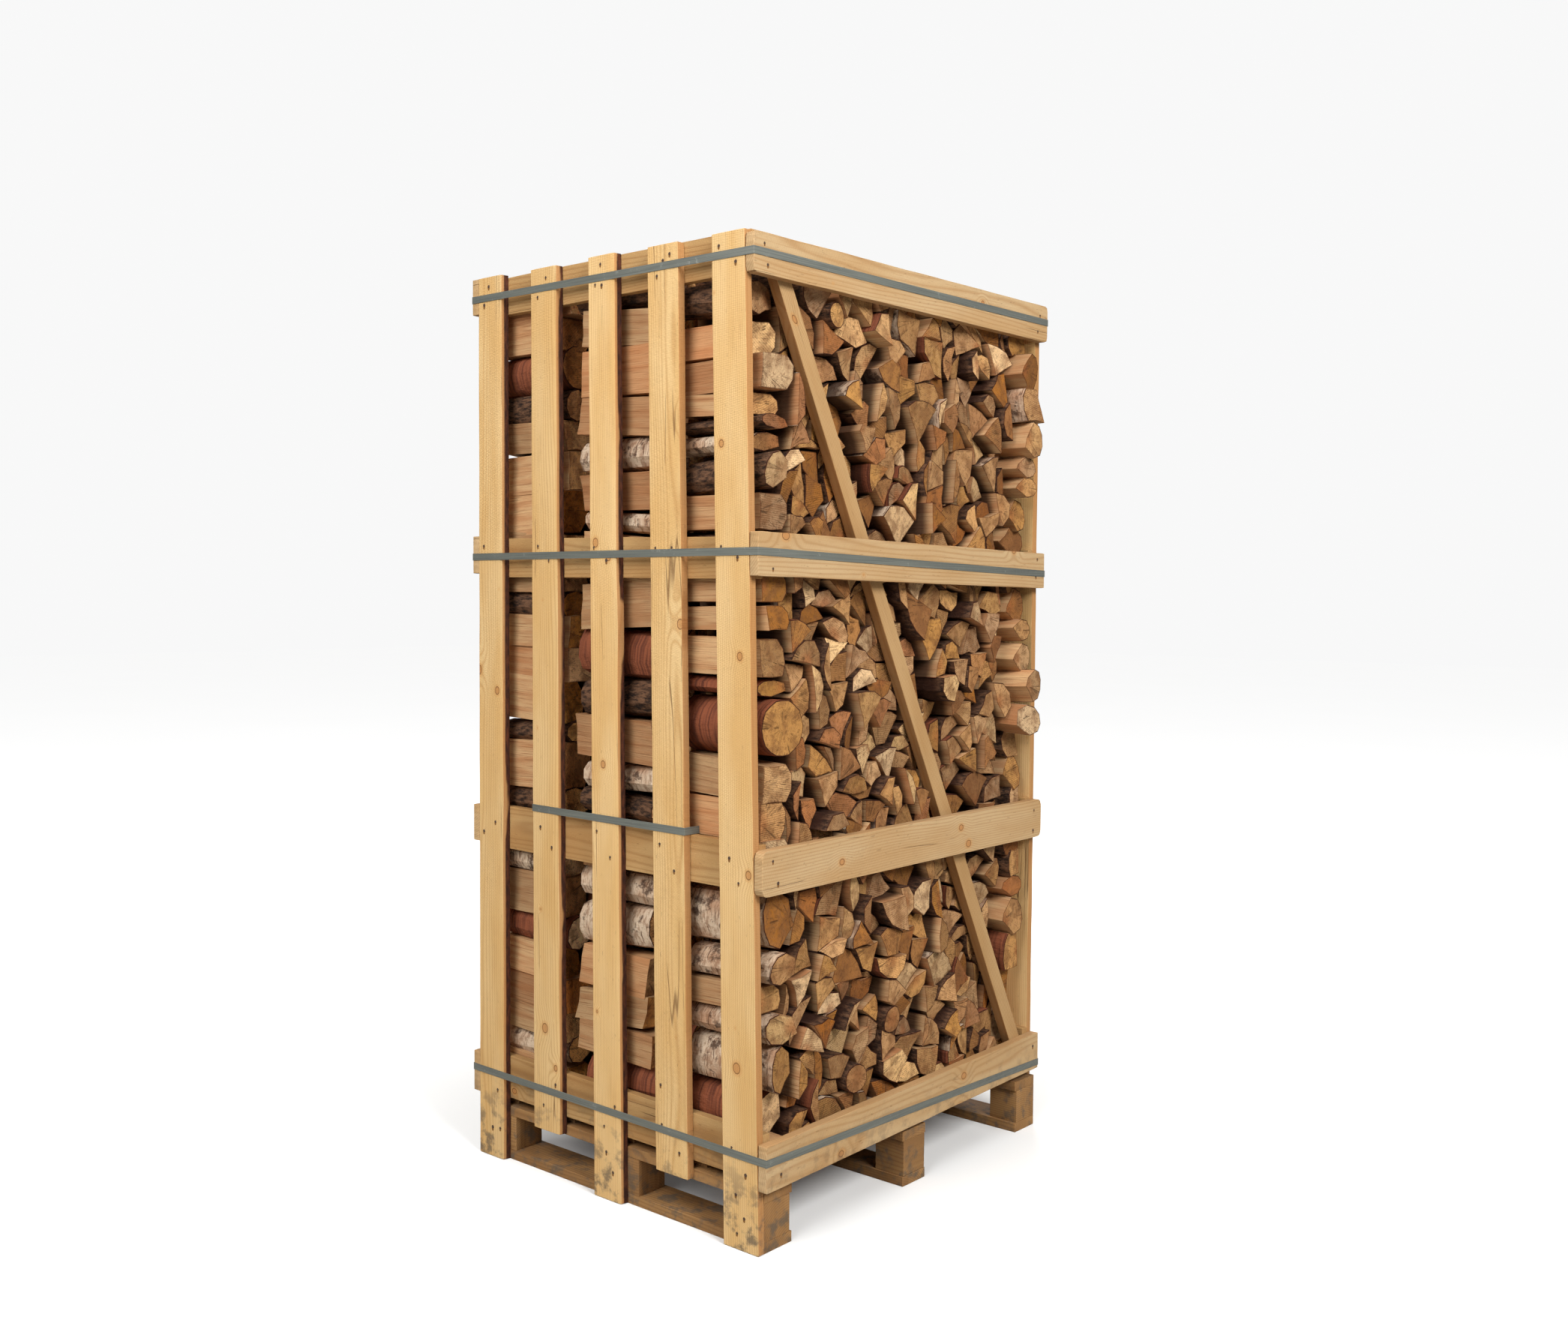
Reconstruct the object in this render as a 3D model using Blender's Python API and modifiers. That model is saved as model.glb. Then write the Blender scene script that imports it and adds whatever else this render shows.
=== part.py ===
"""A slatted crate of split hardwood firewood on a pallet, strapped for transport.

X runs along the front, Y goes into the depth and Z is up, all in metres.
The origin is on the floor, in the middle of the pallet's underside.
The crate stands a little out of true: its near front corner leans, as rough crates do.
"""

import math

import bmesh
import bpy
import numpy as np
from mathutils import Vector

# Driving dimensions, before the whole is moved to its origin.
WIDTH = 0.843  # across the upright slats at mid height
DEPTH = 1.042  # over the outer faces of the front and back slats
GAP = 0.0003  # clearance between two pieces that touch
SLAT_THICK = 0.018
RAIL_THICK = 0.020
BOARD_THICK = 0.0215
BLOCK = 0.078
PALLET_BOARD = 0.022
PALLET_WIDTH = 0.866
FLOOR_BOARD_WIDTH = 0.085
CORNER_LEAN = 0.0256  # sideways lean of the near front corner, metres a metre
MID_HEIGHT = 1.0  # the leaning corner is where it should be at this height
LOG_LENGTH = 0.240
STRAP_WIDTH = 0.0155
STRAP_THICK = 0.001

SLAT_LEFT = (0.0, 0.188, 0.381, 0.566, 0.7515)
SLAT_WIDTH = (0.087, 0.0885, 0.0855, 0.0897, 0.0913)
SLAT_TOP = (2.014, 2.010, 2.011, 2.007, 2.006)
SHORT_SLATS = (1, 3)  # these two stop above the fork openings
SHORT_SLAT_FOOT = 0.104
LONG_SLAT_FOOT = 0.001

# Bottom and top of each rail at its left and its right end.
RAILS = (
    ((0.1415, 0.2385), (0.1405, 0.2375)),
    ((0.7175, 0.8145), (0.7135, 0.8085)),
    ((1.3365, 1.4255), (1.3300, 1.4130)),
    ((1.9265, 2.0090), (1.9265, 2.0090)),
)
# Bottom and top of each side board at its front and its back end.
RIGHT_BOARDS = (
    ((0.1300, 0.2230), (0.1367, 0.2240)),
    ((0.7095, 0.8005), (0.7125, 0.8045)),
    ((1.3355, 1.4225), (1.3205, 1.4055)),
    ((1.9200, 2.0000), (1.9160, 2.0020)),
)
LEFT_BOARDS = (
    ((0.1416, 0.2350), (0.1416, 0.2350)),
    ((0.7280, 0.8120), (0.7280, 0.8120)),
    ((1.3450, 1.4300), (1.3450, 1.4300)),
    ((1.9330, 2.0140), (1.9330, 2.0140)),
)
BLOCK_LEFT = (0.029, 0.434, 0.788)
DECK_LEFT = (0.002, 0.195, 0.385, 0.600, 0.752)
DECK_WIDTH = 0.090

BRACE_THICK = 0.024
BRACE_WIDTH = 0.0455  # measured level, across the leaning brace
BRACE_TOP = (0.083, 1.985)  # depth and height of the middle of its upper end
BRACE_FOOT = (0.9715, 0.210)

# Height of the middle of each strap at front left, front right, back right, back left.
STRAPS = (
    (0.198, 0.1905, 0.1515, 0.165),
    (1.3827, 1.3835, 1.3560, 1.378),
    (1.9675, 1.9615, 1.9632, 1.966),
)
TIE_HEIGHT = (0.8235, 0.8185)  # at slat 2 and at slat 4
TIE_CHANNEL = (0.008, 0.030)  # width and height of the way that the tie has through the load
BRACE_ROOM = 0.014  # the load stays this far from each side of a brace
CUT_PAST = 0.1  # a cutter reaches this far past what it cuts

STACK_LEFT = {"left": 0.010, "middle": 0.296}  # the right stack is set from the right side
STACK_SEED = {"left": 11, "middle": 23, "right": 3}
LOAD_TOP = {"left": 1.985, "middle": 1.975, "right": 1.965}
LOAD_CLEAR = 0.0395  # from the outer face of the slats to the load
CORE_INSET = 0.034  # from the side of the load to the plain core behind the outer logs
CORE_BELOW_TOP = 0.085
MOST_CORNERS = 4
DRAWN_IN = 0.003  # a plain log is this much smaller all round, so that neighbours stay apart
CORE_X = {"left": (0.014, 0.240), "middle": (0.306, 0.526), "right": (0.600, 0.828)}
LEAST_HOLD = 0.004  # an outer log that reaches less far into the core is left out
ROOT = 0.020  # how far a raised end goes into the core
RAISED = 0.011  # a log's end is modelled where it stands this far out of the plain core
TIP_SPREAD = {"left": 0.010, "middle": 0.010, "right": 0.014}
TIP_BACK = 0.006  # how far behind the crate's right side the ends are on average
BEHIND_BOARD = 0.004  # ends stay this far behind a side board
BEHIND_BRACE = 0.035  # and this far behind the crate's side where the brace is
BESIDE_BRACE = 0.030
LEFT_LEAST = 0.002
RIGHT_LEAST = 0.579  # the right stack stays this side of the middle one
# Logs that were pushed out past the others: depth, height, how far.
PUSHED_OUT = (
    (0.090, 1.245, 0.022),
    (0.080, 1.315, 0.016),
    (0.965, 1.870, 0.032),
    (0.965, 1.800, 0.048),
    (0.965, 1.730, 0.054),
    (0.965, 1.660, 0.050),
    (0.965, 1.590, 0.034),
    (0.890, 1.690, 0.026),
    (0.885, 1.800, 0.020),
    (0.965, 1.180, 0.024),
    (0.965, 1.100, 0.056),
    (0.965, 1.020, 0.052),
    (0.895, 1.070, 0.022),
)
PUSHED_REACH = 0.048  # a log this near to one of those places is pushed out

PALLET_LEFT = 0.001
ORIGIN = Vector(((PALLET_LEFT + PALLET_WIDTH) / 2, DEPTH / 2, 0.0))
LOAD_FOOT = 3 * PALLET_BOARD + BLOCK + 4 * GAP


def clear_scene():
    for obj in list(bpy.data.objects):
        bpy.data.objects.remove(obj, do_unlink=True)


def new_collection(name):
    found = bpy.data.collections.new(name)
    bpy.context.scene.collection.children.link(found)
    return found


def wood(name, colour, roughness=0.8):
    made = bpy.data.materials.new(name)
    made.use_nodes = True
    shader = made.node_tree.nodes["Principled BSDF"]
    shader.inputs["Base Color"].default_value = (*colour, 1.0)
    shader.inputs["Roughness"].default_value = roughness
    shader.inputs["Metallic"].default_value = 0.0
    return made


def rack(x, y, z):
    """Where the leaning crate has a point that would be at x in a true one."""
    return x - CORNER_LEAN * (x / WIDTH) * (1 - y / DEPTH) * (z - MID_HEIGHT)


def between(a, b, share):
    return a + (b - a) * share


def place_mesh(name, mesh, surface, collection):
    """A new object for the mesh, moved so that the crate stands over the origin."""
    for vertex in mesh.vertices:
        vertex.co -= ORIGIN
    mesh.materials.append(surface)
    obj = bpy.data.objects.new(name, mesh)
    collection.objects.link(obj)
    return obj


def plank(name, corner, surface, collection):
    """A sawn piece: a cube whose corners go where corner(u, v, w) puts them, each from 0 to 1."""
    bm = bmesh.new()
    bmesh.ops.create_cube(bm, size=1.0)
    for vertex in bm.verts:
        vertex.co = corner(*(c + 0.5 for c in vertex.co))
    bm.normal_update()
    bmesh.ops.recalc_face_normals(bm, faces=bm.faces)
    mesh = bpy.data.meshes.new(name)
    bm.to_mesh(mesh)
    bm.free()
    return place_mesh(name, mesh, surface, collection)


def straight(low, high):
    """The corner rule of a plank that stands square."""

    def corner(*share):
        return Vector(between(low[i], high[i], share[i]) for i in range(3))

    return corner


def build_pallet(surfaces, parts):
    front = SLAT_THICK + GAP
    rows = (front, (DEPTH - FLOOR_BOARD_WIDTH) / 2, DEPTH - front - FLOOR_BOARD_WIDTH)
    block_rows = (front, (DEPTH - BLOCK) / 2, DEPTH - front - BLOCK)
    block_foot = PALLET_BOARD + GAP
    stringer_foot = block_foot + BLOCK + GAP
    deck_foot = stringer_foot + PALLET_BOARD + GAP
    for row in range(3):
        y = rows[row]
        for label, foot in (("floor_board", 0.0), ("stringer", stringer_foot)):
            low = (PALLET_LEFT, y, foot)
            high = (PALLET_WIDTH, y + FLOOR_BOARD_WIDTH, foot + PALLET_BOARD)
            plank(f"{label}_{row + 1}", straight(low, high), surfaces[label], parts)
        for column, x in enumerate(BLOCK_LEFT):
            low = (x, block_rows[row], block_foot)
            high = (x + BLOCK, block_rows[row] + BLOCK, block_foot + BLOCK)
            name = f"block_{row + 1}_{column + 1}"
            plank(name, straight(low, high), surfaces["block"], parts)
    inside = SLAT_THICK + RAIL_THICK + 2 * GAP
    for column, x in enumerate(DECK_LEFT):
        low = (x, inside, deck_foot)
        high = (x + DECK_WIDTH, DEPTH - inside, deck_foot + PALLET_BOARD)
        plank(f"deck_board_{column + 1}", straight(low, high), surfaces["deck_board"], parts)


def build_frame(side, surfaces, parts):
    """The slats and rails of the front or the back."""

    def depth(y):
        return y if side == "front" else DEPTH - y

    for i, left in enumerate(SLAT_LEFT):
        foot = SHORT_SLAT_FOOT if i in SHORT_SLATS else LONG_SLAT_FOOT

        def slat(u, v, w, i=i, left=left, foot=foot):
            y = depth(v * SLAT_THICK)
            z = between(foot, SLAT_TOP[i], w)
            return Vector((rack(left + u * SLAT_WIDTH[i], y, z), y, z))

        plank(f"{side}_slat_{i + 1}", slat, surfaces["slat"], parts)
    for i, (at_left, at_right) in enumerate(RAILS):

        def rail(u, v, w, at_left=at_left, at_right=at_right):
            y = depth(SLAT_THICK + GAP + v * RAIL_THICK)
            z = between(between(at_left[0], at_right[0], u), between(at_left[1], at_right[1], u), w)
            return Vector((rack(u * (WIDTH - 2 * GAP) + GAP, y, z), y, z))

        plank(f"{side}_rail_{i + 1}", rail, surfaces["rail"], parts)


def right_face(y, foot):
    """Inner face of a right board whose lower edge at the front is at this height."""
    return WIDTH + GAP + (rack(WIDTH, y, foot) - WIDTH)


def build_side_boards(surfaces, parts):
    for i, (front, back) in enumerate(RIGHT_BOARDS):

        def right(u, v, w, front=front, back=back):
            y = v * DEPTH
            z = between(between(front[0], back[0], v), between(front[1], back[1], v), w)
            return Vector((right_face(y, front[0]) + u * BOARD_THICK, y, z))

        plank(f"right_board_{i + 1}", right, surfaces["board"], parts)
    for i, (front, back) in enumerate(LEFT_BOARDS):
        low = (-GAP - BOARD_THICK, 0.0, front[0])
        high = (-GAP, DEPTH, front[1])
        plank(f"left_board_{i + 1}", straight(low, high), surfaces["board"], parts)


def brace_face():
    """X of the brace's outer face at its top and at its foot."""
    top = right_face(BRACE_TOP[0], RIGHT_BOARDS[3][0][1]) - GAP
    foot = right_face(BRACE_FOOT[0], RIGHT_BOARDS[0][0][1]) - GAP
    return top - GAP, foot - GAP


def right_brace_corner(u, v, w):
    top_face, foot_face = brace_face()
    y = between(BRACE_FOOT[0], BRACE_TOP[0], w) + (v - 0.5) * BRACE_WIDTH
    z = between(BRACE_FOOT[1], BRACE_TOP[1], w)
    return Vector((between(foot_face, top_face, w) - (1 - u) * BRACE_THICK, y, z))


def left_brace_corner(u, v, w):
    spot = right_brace_corner(u, v, w)
    return Vector((GAP + u * BRACE_THICK, DEPTH - spot.y, spot.z))


def build_braces(surfaces, parts):
    plank("right_brace", right_brace_corner, surfaces["brace"], parts)
    plank("left_brace", left_brace_corner, surfaces["brace"], parts)


def band(name, ring, surface, parts):
    """A flat strap round the points of ring, each the middle of the strap's inner face."""
    bm = bmesh.new()
    half = Vector((0.0, 0.0, STRAP_WIDTH / 2))
    lower = [bm.verts.new(Vector(p) - half) for p in ring]
    upper = [bm.verts.new(Vector(p) + half) for p in ring]
    count = len(ring)
    for i in range(count):
        j = (i + 1) % count
        bm.faces.new((lower[i], lower[j], upper[j], upper[i]))
    bm.normal_update()
    bmesh.ops.recalc_face_normals(bm, faces=bm.faces)
    mesh = bpy.data.meshes.new(name)
    bm.to_mesh(mesh)
    bm.free()
    obj = place_mesh(name, mesh, surface, parts)
    thick = obj.modifiers.new("Thickness", "SOLIDIFY")
    thick.thickness = STRAP_THICK
    thick.offset = 1.0
    thick.use_even_offset = True
    return obj


def build_straps(surfaces, parts):
    left = -2 * GAP - BOARD_THICK
    for i, (board, heights) in enumerate(zip((0, 2, 3), STRAPS)):
        foot = RIGHT_BOARDS[board][0][0]
        out = BOARD_THICK + GAP
        near = right_face(0.0, foot) + out
        far = right_face(DEPTH, foot) + out
        ring = (
            (left, -GAP, heights[0]),
            (near, -GAP, heights[1]),
            (far, DEPTH + GAP, heights[2]),
            (left, DEPTH + GAP, heights[3]),
        )
        band(f"strap_{i + 1}", ring, surfaces["strap"], parts)
    left, right = tie_places()
    ring = (
        (left[0], -GAP, TIE_HEIGHT[0]),
        (right[0], -GAP, TIE_HEIGHT[1]),
        (right[1], DEPTH + GAP, TIE_HEIGHT[1]),
        (left[1], DEPTH + GAP, TIE_HEIGHT[0]),
    )
    band("tie_strap", ring, surfaces["strap"], parts)


def tie_places():
    """X of the tie beside slats 2 and 4, at the front and at the back."""
    clear = 2 * GAP
    slack = STRAP_WIDTH * CORNER_LEAN
    x_left = SLAT_LEFT[1] - clear - slack
    x_right = SLAT_LEFT[3] + SLAT_WIDTH[3] + clear + slack
    found = []
    for x, z in ((x_left, TIE_HEIGHT[0]), (x_right, TIE_HEIGHT[1])):
        found.append((rack(x, 0.0, z), rack(x, DEPTH, z)))
    return found


# The load: logs are dropped one by one, each where it fits the pile best.

COLUMN = 0.004  # width of the columns that the growing pile's height is kept in
TRIES = 4  # split logs that are tried before the best one is dropped
TURNS = 13  # ways round that each of them is tried
FULL = 0.05  # the pile is full where its lowest column is this near to its top
OVER_TOP = 0.02
CLEAR = 0.0008  # between a log and what it rests on
HEIGHT_COST = 22
SIZE_GAIN = 60
TOO_HIGH = 50
WORST = 40.0
KINDS = ("wedge", "half", "slab", "heart", "round")
KIND_SHARE = (0.52, 0.16, 0.14, 0.165, 0.015)
KIND_RADIUS = ((0.058, 0.099), (0.036, 0.052), (0.047, 0.072), (0.070, 0.105), (0.028, 0.038))
KIND_HALF_ANGLE = ((24, 50), (76, 92), (50, 66), (22, 36), (180, 180))
ARC_STEP = 0.016
ROUND_STEPS = 8
UNEVEN = 0.045
TIP_WANDER = 0.006
INNER_SHARE = (0.25, 0.45)  # where the pith side of a heart piece was split off

# The front row of each stack, which shows between the slats: look, bottom and top.
FRONT_ROW = {
    "left": (
        ("dark", 0.146, 0.196), ("flat", 0.196, 0.243), ("birch", 0.243, 0.302),
        ("flat", 0.302, 0.366), ("flat", 0.366, 0.434), ("flat", 0.434, 0.505),
        ("red", 0.505, 0.575), ("flat", 0.575, 0.664), ("birch", 0.664, 0.725),
        ("flat", 0.725, 0.800), ("dark", 0.800, 0.862), ("flat", 0.862, 0.964),
        ("dark", 0.964, 1.010), ("flat", 1.016, 1.111), ("flat", 1.111, 1.182),
        ("flat", 1.182, 1.248), ("dark", 1.248, 1.305), ("flat", 1.305, 1.369),
        ("flat", 1.369, 1.433), ("flat", 1.433, 1.525), ("flat", 1.525, 1.607),
        ("flat", 1.617, 1.680), ("dark", 1.680, 1.748), ("ring", 1.748, 1.838),
        ("flat", 1.838, 1.904), ("flat", 1.908, 1.975),
    ),
    "middle": (
        ("flat", 0.146, 0.205), ("red", 0.205, 0.292), ("flat", 0.292, 0.366),
        ("flat", 0.366, 0.438), ("flat", 0.438, 0.530), ("birch", 0.534, 0.631),
        ("birch", 0.631, 0.708), ("flat", 0.708, 0.813), ("dark", 0.813, 0.872),
        ("birch", 0.872, 0.938), ("flat", 0.940, 1.034), ("dark", 1.034, 1.118),
        ("red", 1.118, 1.225), ("flat", 1.225, 1.326), ("flat", 1.326, 1.426),
        ("birch", 1.428, 1.476), ("flat", 1.476, 1.557), ("birch", 1.558, 1.636),
        ("flat", 1.636, 1.718), ("flat", 1.720, 1.823), ("flat", 1.823, 1.902),
        ("dark", 1.902, 1.975),
    ),
    "right": (
        ("flat", 0.146, 0.210), ("red", 0.210, 0.300), ("birch", 0.300, 0.400),
        ("birch", 0.400, 0.462), ("flat", 0.462, 0.516), ("birch", 0.516, 0.586),
        ("birch", 0.586, 0.706), ("flat", 0.708, 0.806), ("flat", 0.806, 0.890),
        ("flat", 0.890, 0.970), ("ring", 0.974, 1.092), ("red", 1.096, 1.134),
        ("flat", 1.136, 1.214), ("flat", 1.226, 1.276), ("flat", 1.283, 1.346),
        ("dark", 1.346, 1.426), ("flat", 1.428, 1.500), ("dark", 1.502, 1.578),
        ("birch", 1.580, 1.622), ("dark", 1.624, 1.656), ("flat", 1.656, 1.702),
        ("flat", 1.702, 1.770), ("flat", 1.772, 1.842), ("dark", 1.858, 1.930),
    ),
}
# The back row is like it, but its logs come as they do.
ROW_LOOKS = ("flat", "dark", "red", "birch")
ROW_SHARE = (0.55, 0.20, 0.15, 0.10)
ROW_HEIGHT = (0.045, 0.088)
ROW_DEPTH = (0.090, 0.082, 0.074, 0.066, 0.056, 0.046)  # the deepest that fits is used
ROW_RUN = 12  # columns that the other logs leave to each of these rows
ROW_AHEAD = 0.09  # they are built up this far above the lowest column
ROW_LEAN = 0.12
BACK_LEAN = 0.40  # as a share of the depth, at the split side
RING_STEPS = 10
# Outlines of front logs as shares of depth and height: bark first, then the split corners.
FLAT_BARK = ((0.84, 0.0), (0.99, 0.30), (0.98, 0.74), (0.78, 1.0))
ROUND_BARK = ((0.50, 1.0), (0.20, 0.92), (0.03, 0.68), (0.0, 0.36), (0.14, 0.10), (0.46, 0.0))


def split_log(rng):
    """Cross-section of one split log about its pith: kind, corner points, and which are bark."""
    index = rng.choice(len(KINDS), p=KIND_SHARE)
    kind = KINDS[index]
    inner = rng.uniform(*INNER_SHARE)
    radius = rng.uniform(*KIND_RADIUS[index])
    half = math.radians(rng.uniform(*KIND_HALF_ANGLE[index]))
    steps = ROUND_STEPS if kind == "round" else max(3, round(half * radius / ARC_STEP))
    angles = np.linspace(-half, half, steps + 1)
    if kind == "round":
        angles = angles[:-1]
    uneven = radius * (1 + UNEVEN * rng.standard_normal(len(angles)))
    arc = np.stack([np.cos(angles) * uneven, np.sin(angles) * uneven], axis=1)
    points = arc
    if kind in ("wedge", "half"):
        points = np.vstack([arc, [[0.0, TIP_WANDER * rng.standard_normal()]]])
    if kind == "heart":
        points = np.vstack([arc, arc[[-1, 0]] * inner])
    return kind, points, np.arange(len(points)) < len(arc)


def row_log(look, deep, height, lean):
    """Cross-section of a log of the front or back row: corner points, which are bark, the pith."""
    if look == "ring":
        angles = 2 * math.pi * (np.arange(RING_STEPS) + 0.5) / RING_STEPS
        arc = 0.5 * height * (1 + np.stack([np.cos(angles), np.sin(angles)], axis=1))
        return arc, np.full(RING_STEPS, True), np.full(2, 0.5 * height)
    if look == "flat":
        arc, pith = FLAT_BARK, (0.0, 0.5)
        split = ((lean[0], 1.0), (lean[1], 0.0))
    else:
        arc, pith = ROUND_BARK, (0.9, 0.5)
        split = ((1.0, 0.25 + lean[0]), (0.92, 0.86 - lean[1]))
    points = np.array(arc + split) * (deep, height)
    return points, np.arange(len(points)) < len(arc), np.array(pith) * (deep, height)


def profile(points):
    """First column, and the lowest and highest point of a cross-section in each column."""
    first = points[:, 0].min()
    count = math.ceil((points[:, 0].max() - first) / COLUMN) + 1
    columns = first + COLUMN * np.arange(count)
    low = np.full(count, np.inf)
    high = np.full(count, -np.inf)
    for (y0, z0), (y1, z1) in zip(points, np.roll(points, -1, axis=0)):
        if abs(y1 - y0) < 1e-9:
            continue
        near = (columns >= min(y0, y1) - COLUMN) & (columns <= max(y0, y1) + COLUMN)
        z = z0 + (z1 - z0) * np.clip((columns[near] - y0) / (y1 - y0), 0, 1)
        low[near] = np.minimum(low[near], z)
        high[near] = np.maximum(high[near], z)
    return first, low, high


def area(points):
    y, z = points[:, 0], points[:, 1]
    return 0.5 * abs(np.dot(y, np.roll(z, -1)) - np.dot(z, np.roll(y, -1)))


def drop_row(pile, look, bottom, height, lean_most, rng):
    """A log of the front row, as deep as it can be at its height; pile starts at its side."""
    lean = rng.uniform(0.0, lean_most, 2)
    for deep in ROW_DEPTH[rng.integers(3) :]:
        points, bark, pith = row_log(look, deep, height, lean)
        first, low, high = profile(points)
        rest = max((pile[: len(low)] - low).max(), bottom)
        if rest < bottom + COLUMN:
            break
    moved = np.array([-first, rest + CLEAR])
    pile[: len(high)] = np.maximum(pile[: len(high)], rest + high)
    return look, points + moved, bark, pith + moved


def drop_back(pile, rng):
    """The same at the back, where the look and the height are left to chance."""
    look = ROW_LOOKS[rng.choice(len(ROW_LOOKS), p=ROW_SHARE)]
    bottom = pile[-ROW_RUN:].max()
    height = rng.uniform(*ROW_HEIGHT)
    _, points, bark, pith = drop_row(pile[::-1], look, bottom, height, BACK_LEAN, rng)
    across = np.array([-1.0, 1.0])
    far = np.array([(len(pile) - 1) * COLUMN, 0.0])
    return look, (points * across + far)[::-1], bark[::-1], pith * across + far


def drop_best(pile, start, stop, floor, height, rng):
    """The best of a few random logs, turned and put where it leaves the least room below."""
    best = (WORST,)
    for _ in range(TRIES):
        kind, points, bark = split_log(rng)
        size = area(points)
        for turn in rng.uniform(0, 2 * math.pi, TURNS):
            c, s = math.cos(turn), math.sin(turn)
            turned = points @ np.array([[c, s], [-s, c]])
            first, low, high = profile(turned)
            under = np.lib.stride_tricks.sliding_window_view(pile[start:stop], len(low))
            rest = (under - low).max(axis=1)
            void = (rest[:, None] + low - under).sum(axis=1) * COLUMN
            middle = rest + 0.5 * (low.min() + high.max())
            score = void / size + HEIGHT_COST * (middle - floor) - SIZE_GAIN * size
            score[rest + high.max() > height + OVER_TOP] += TOO_HIGH
            k = int(np.argmin(score))
            if score[k] < best[0]:
                best = (score[k], start + k, rest[k], turned, first, high, kind, bark)
    if len(best) == 1:
        return None
    _, k, rest, turned, first, high, kind, bark = best
    pith = np.array([k * COLUMN - first, rest + CLEAR])
    pile[k : k + len(high)] = np.maximum(pile[k : k + len(high)], rest + high)
    return kind, turned + pith, bark, pith


def pack_logs(side):
    """Cross-sections of a pile: kind or look, corner points, bark flags and pith of each log."""
    rng = np.random.default_rng(STACK_SEED[side])
    pile = np.zeros(int((DEPTH - 2 * LOAD_CLEAR) / COLUMN))
    height = LOAD_TOP[side] - LOAD_FOOT
    waiting = list(FRONT_ROW[side])
    origin = np.array([LOAD_CLEAR, LOAD_FOOT])
    logs = []
    while pile.min() < height - FULL:
        floor = np.sort(pile)[: len(pile) // 8].mean()
        if waiting and waiting[0][1] - LOAD_FOOT < floor + ROW_AHEAD:
            look, bottom, top = waiting.pop(0)
            log = drop_row(pile, look, bottom - LOAD_FOOT, top - bottom, ROW_LEAN, rng)
        elif pile[-ROW_RUN:].max() < min(floor + ROW_AHEAD, height - ROW_HEIGHT[1]):
            log = drop_back(pile, rng)
        else:
            start, stop = (ROW_RUN, len(pile) - ROW_RUN) if waiting else (0, len(pile))
            log = drop_best(pile, start, stop, floor, height, rng)
        if log is None:
            break
        kind, points, bark, pith = log
        logs.append((kind, points + origin, bark, pith + origin))
    return logs


def few_corners(points):
    """The cross-section with its flattest corners left out, and drawn in a little."""
    points = list(points)
    while len(points) > MOST_CORNERS:
        lost = []
        for i, p in enumerate(points):
            a, b = points[i - 1], points[(i + 1) % len(points)]
            lost.append(abs((a[0] - p[0]) * (b[1] - p[1]) - (a[1] - p[1]) * (b[0] - p[0])))
        points.pop(int(np.argmin(lost)))
    points = np.array(points)
    middle = points.mean(axis=0)
    away = points - middle
    length = np.linalg.norm(away, axis=1, keepdims=True)
    return middle + away * (1 - DRAWN_IN / length)


def brace_depth(z):
    """Depth of the middle of the right brace at a height."""
    share = (z - BRACE_FOOT[1]) / (BRACE_TOP[1] - BRACE_FOOT[1])
    return between(BRACE_FOOT[0], BRACE_TOP[0], share)


def log_tips(points, side, rng):
    """X of a log's two ends, kept off the boards and the brace."""
    y, z = points.mean(axis=0)
    low, high = points.min(axis=0), points.max(axis=0)
    spread = TIP_SPREAD[side]
    shift = float(np.clip(rng.normal(0.0, spread), -2 * spread, 2 * spread))
    if side == "right":
        for deep, tall, far in PUSHED_OUT:
            if math.hypot(y - deep, z - tall) < PUSHED_REACH:
                shift = far
        for board in RIGHT_BOARDS:
            foot, top = min(ends[0] for ends in board), max(ends[1] for ends in board)
            if low[1] < top + BEHIND_BOARD and high[1] > foot - BEHIND_BOARD:
                shift = min(shift, TIP_BACK - BEHIND_BOARD)
        near = min(abs(brace_depth(t) - d) for t in (low[1], z, high[1]) for d in (low[0], y, high[0]))
        if near < BRACE_WIDTH or low[0] < brace_depth(z) < high[0]:
            shift = min(shift, TIP_BACK - BEHIND_BRACE)
        right = rack(WIDTH, y, z) + shift - TIP_BACK
        return max(right - LOG_LENGTH, rack(RIGHT_LEAST, y, z)), right
    start = rack(STACK_LEFT[side] + shift, y, z)
    if side == "left":
        start = max(STACK_LEFT[side] + shift, LEFT_LEAST)
        if abs(DEPTH - y - brace_depth(z)) < BRACE_WIDTH + BESIDE_BRACE:
            start = BRACE_THICK + LEFT_LEAST
    return start, start + LOG_LENGTH


def add_prism(bm, points, x0, x1):
    """A straight prism with this cross-section between two values of X."""
    base = bm.faces.new([bm.verts.new((x0, y, z)) for y, z in points])
    grown = bmesh.ops.extrude_face_region(bm, geom=[base])
    tops = [item for item in grown["geom"] if isinstance(item, bmesh.types.BMVert)]
    bmesh.ops.translate(bm, verts=tops, vec=(x1 - x0, 0.0, 0.0))


def helper_object(name, bm, collection):
    """An object that only a Boolean reads."""
    bm.normal_update()
    bmesh.ops.recalc_face_normals(bm, faces=bm.faces)
    mesh = bpy.data.meshes.new(name)
    bm.to_mesh(mesh)
    bm.free()
    for vertex in mesh.vertices:
        vertex.co -= ORIGIN
    obj = bpy.data.objects.new(name, mesh)
    obj.hide_render = True
    obj.display_type = "WIRE"
    collection.objects.link(obj)
    return obj


def boolean(obj, other, operation):
    step = obj.modifiers.new(other.name, "BOOLEAN")
    step.operation = operation
    step.solver = "EXACT"
    step.use_self = operation == "UNION"
    step.object = other


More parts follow.
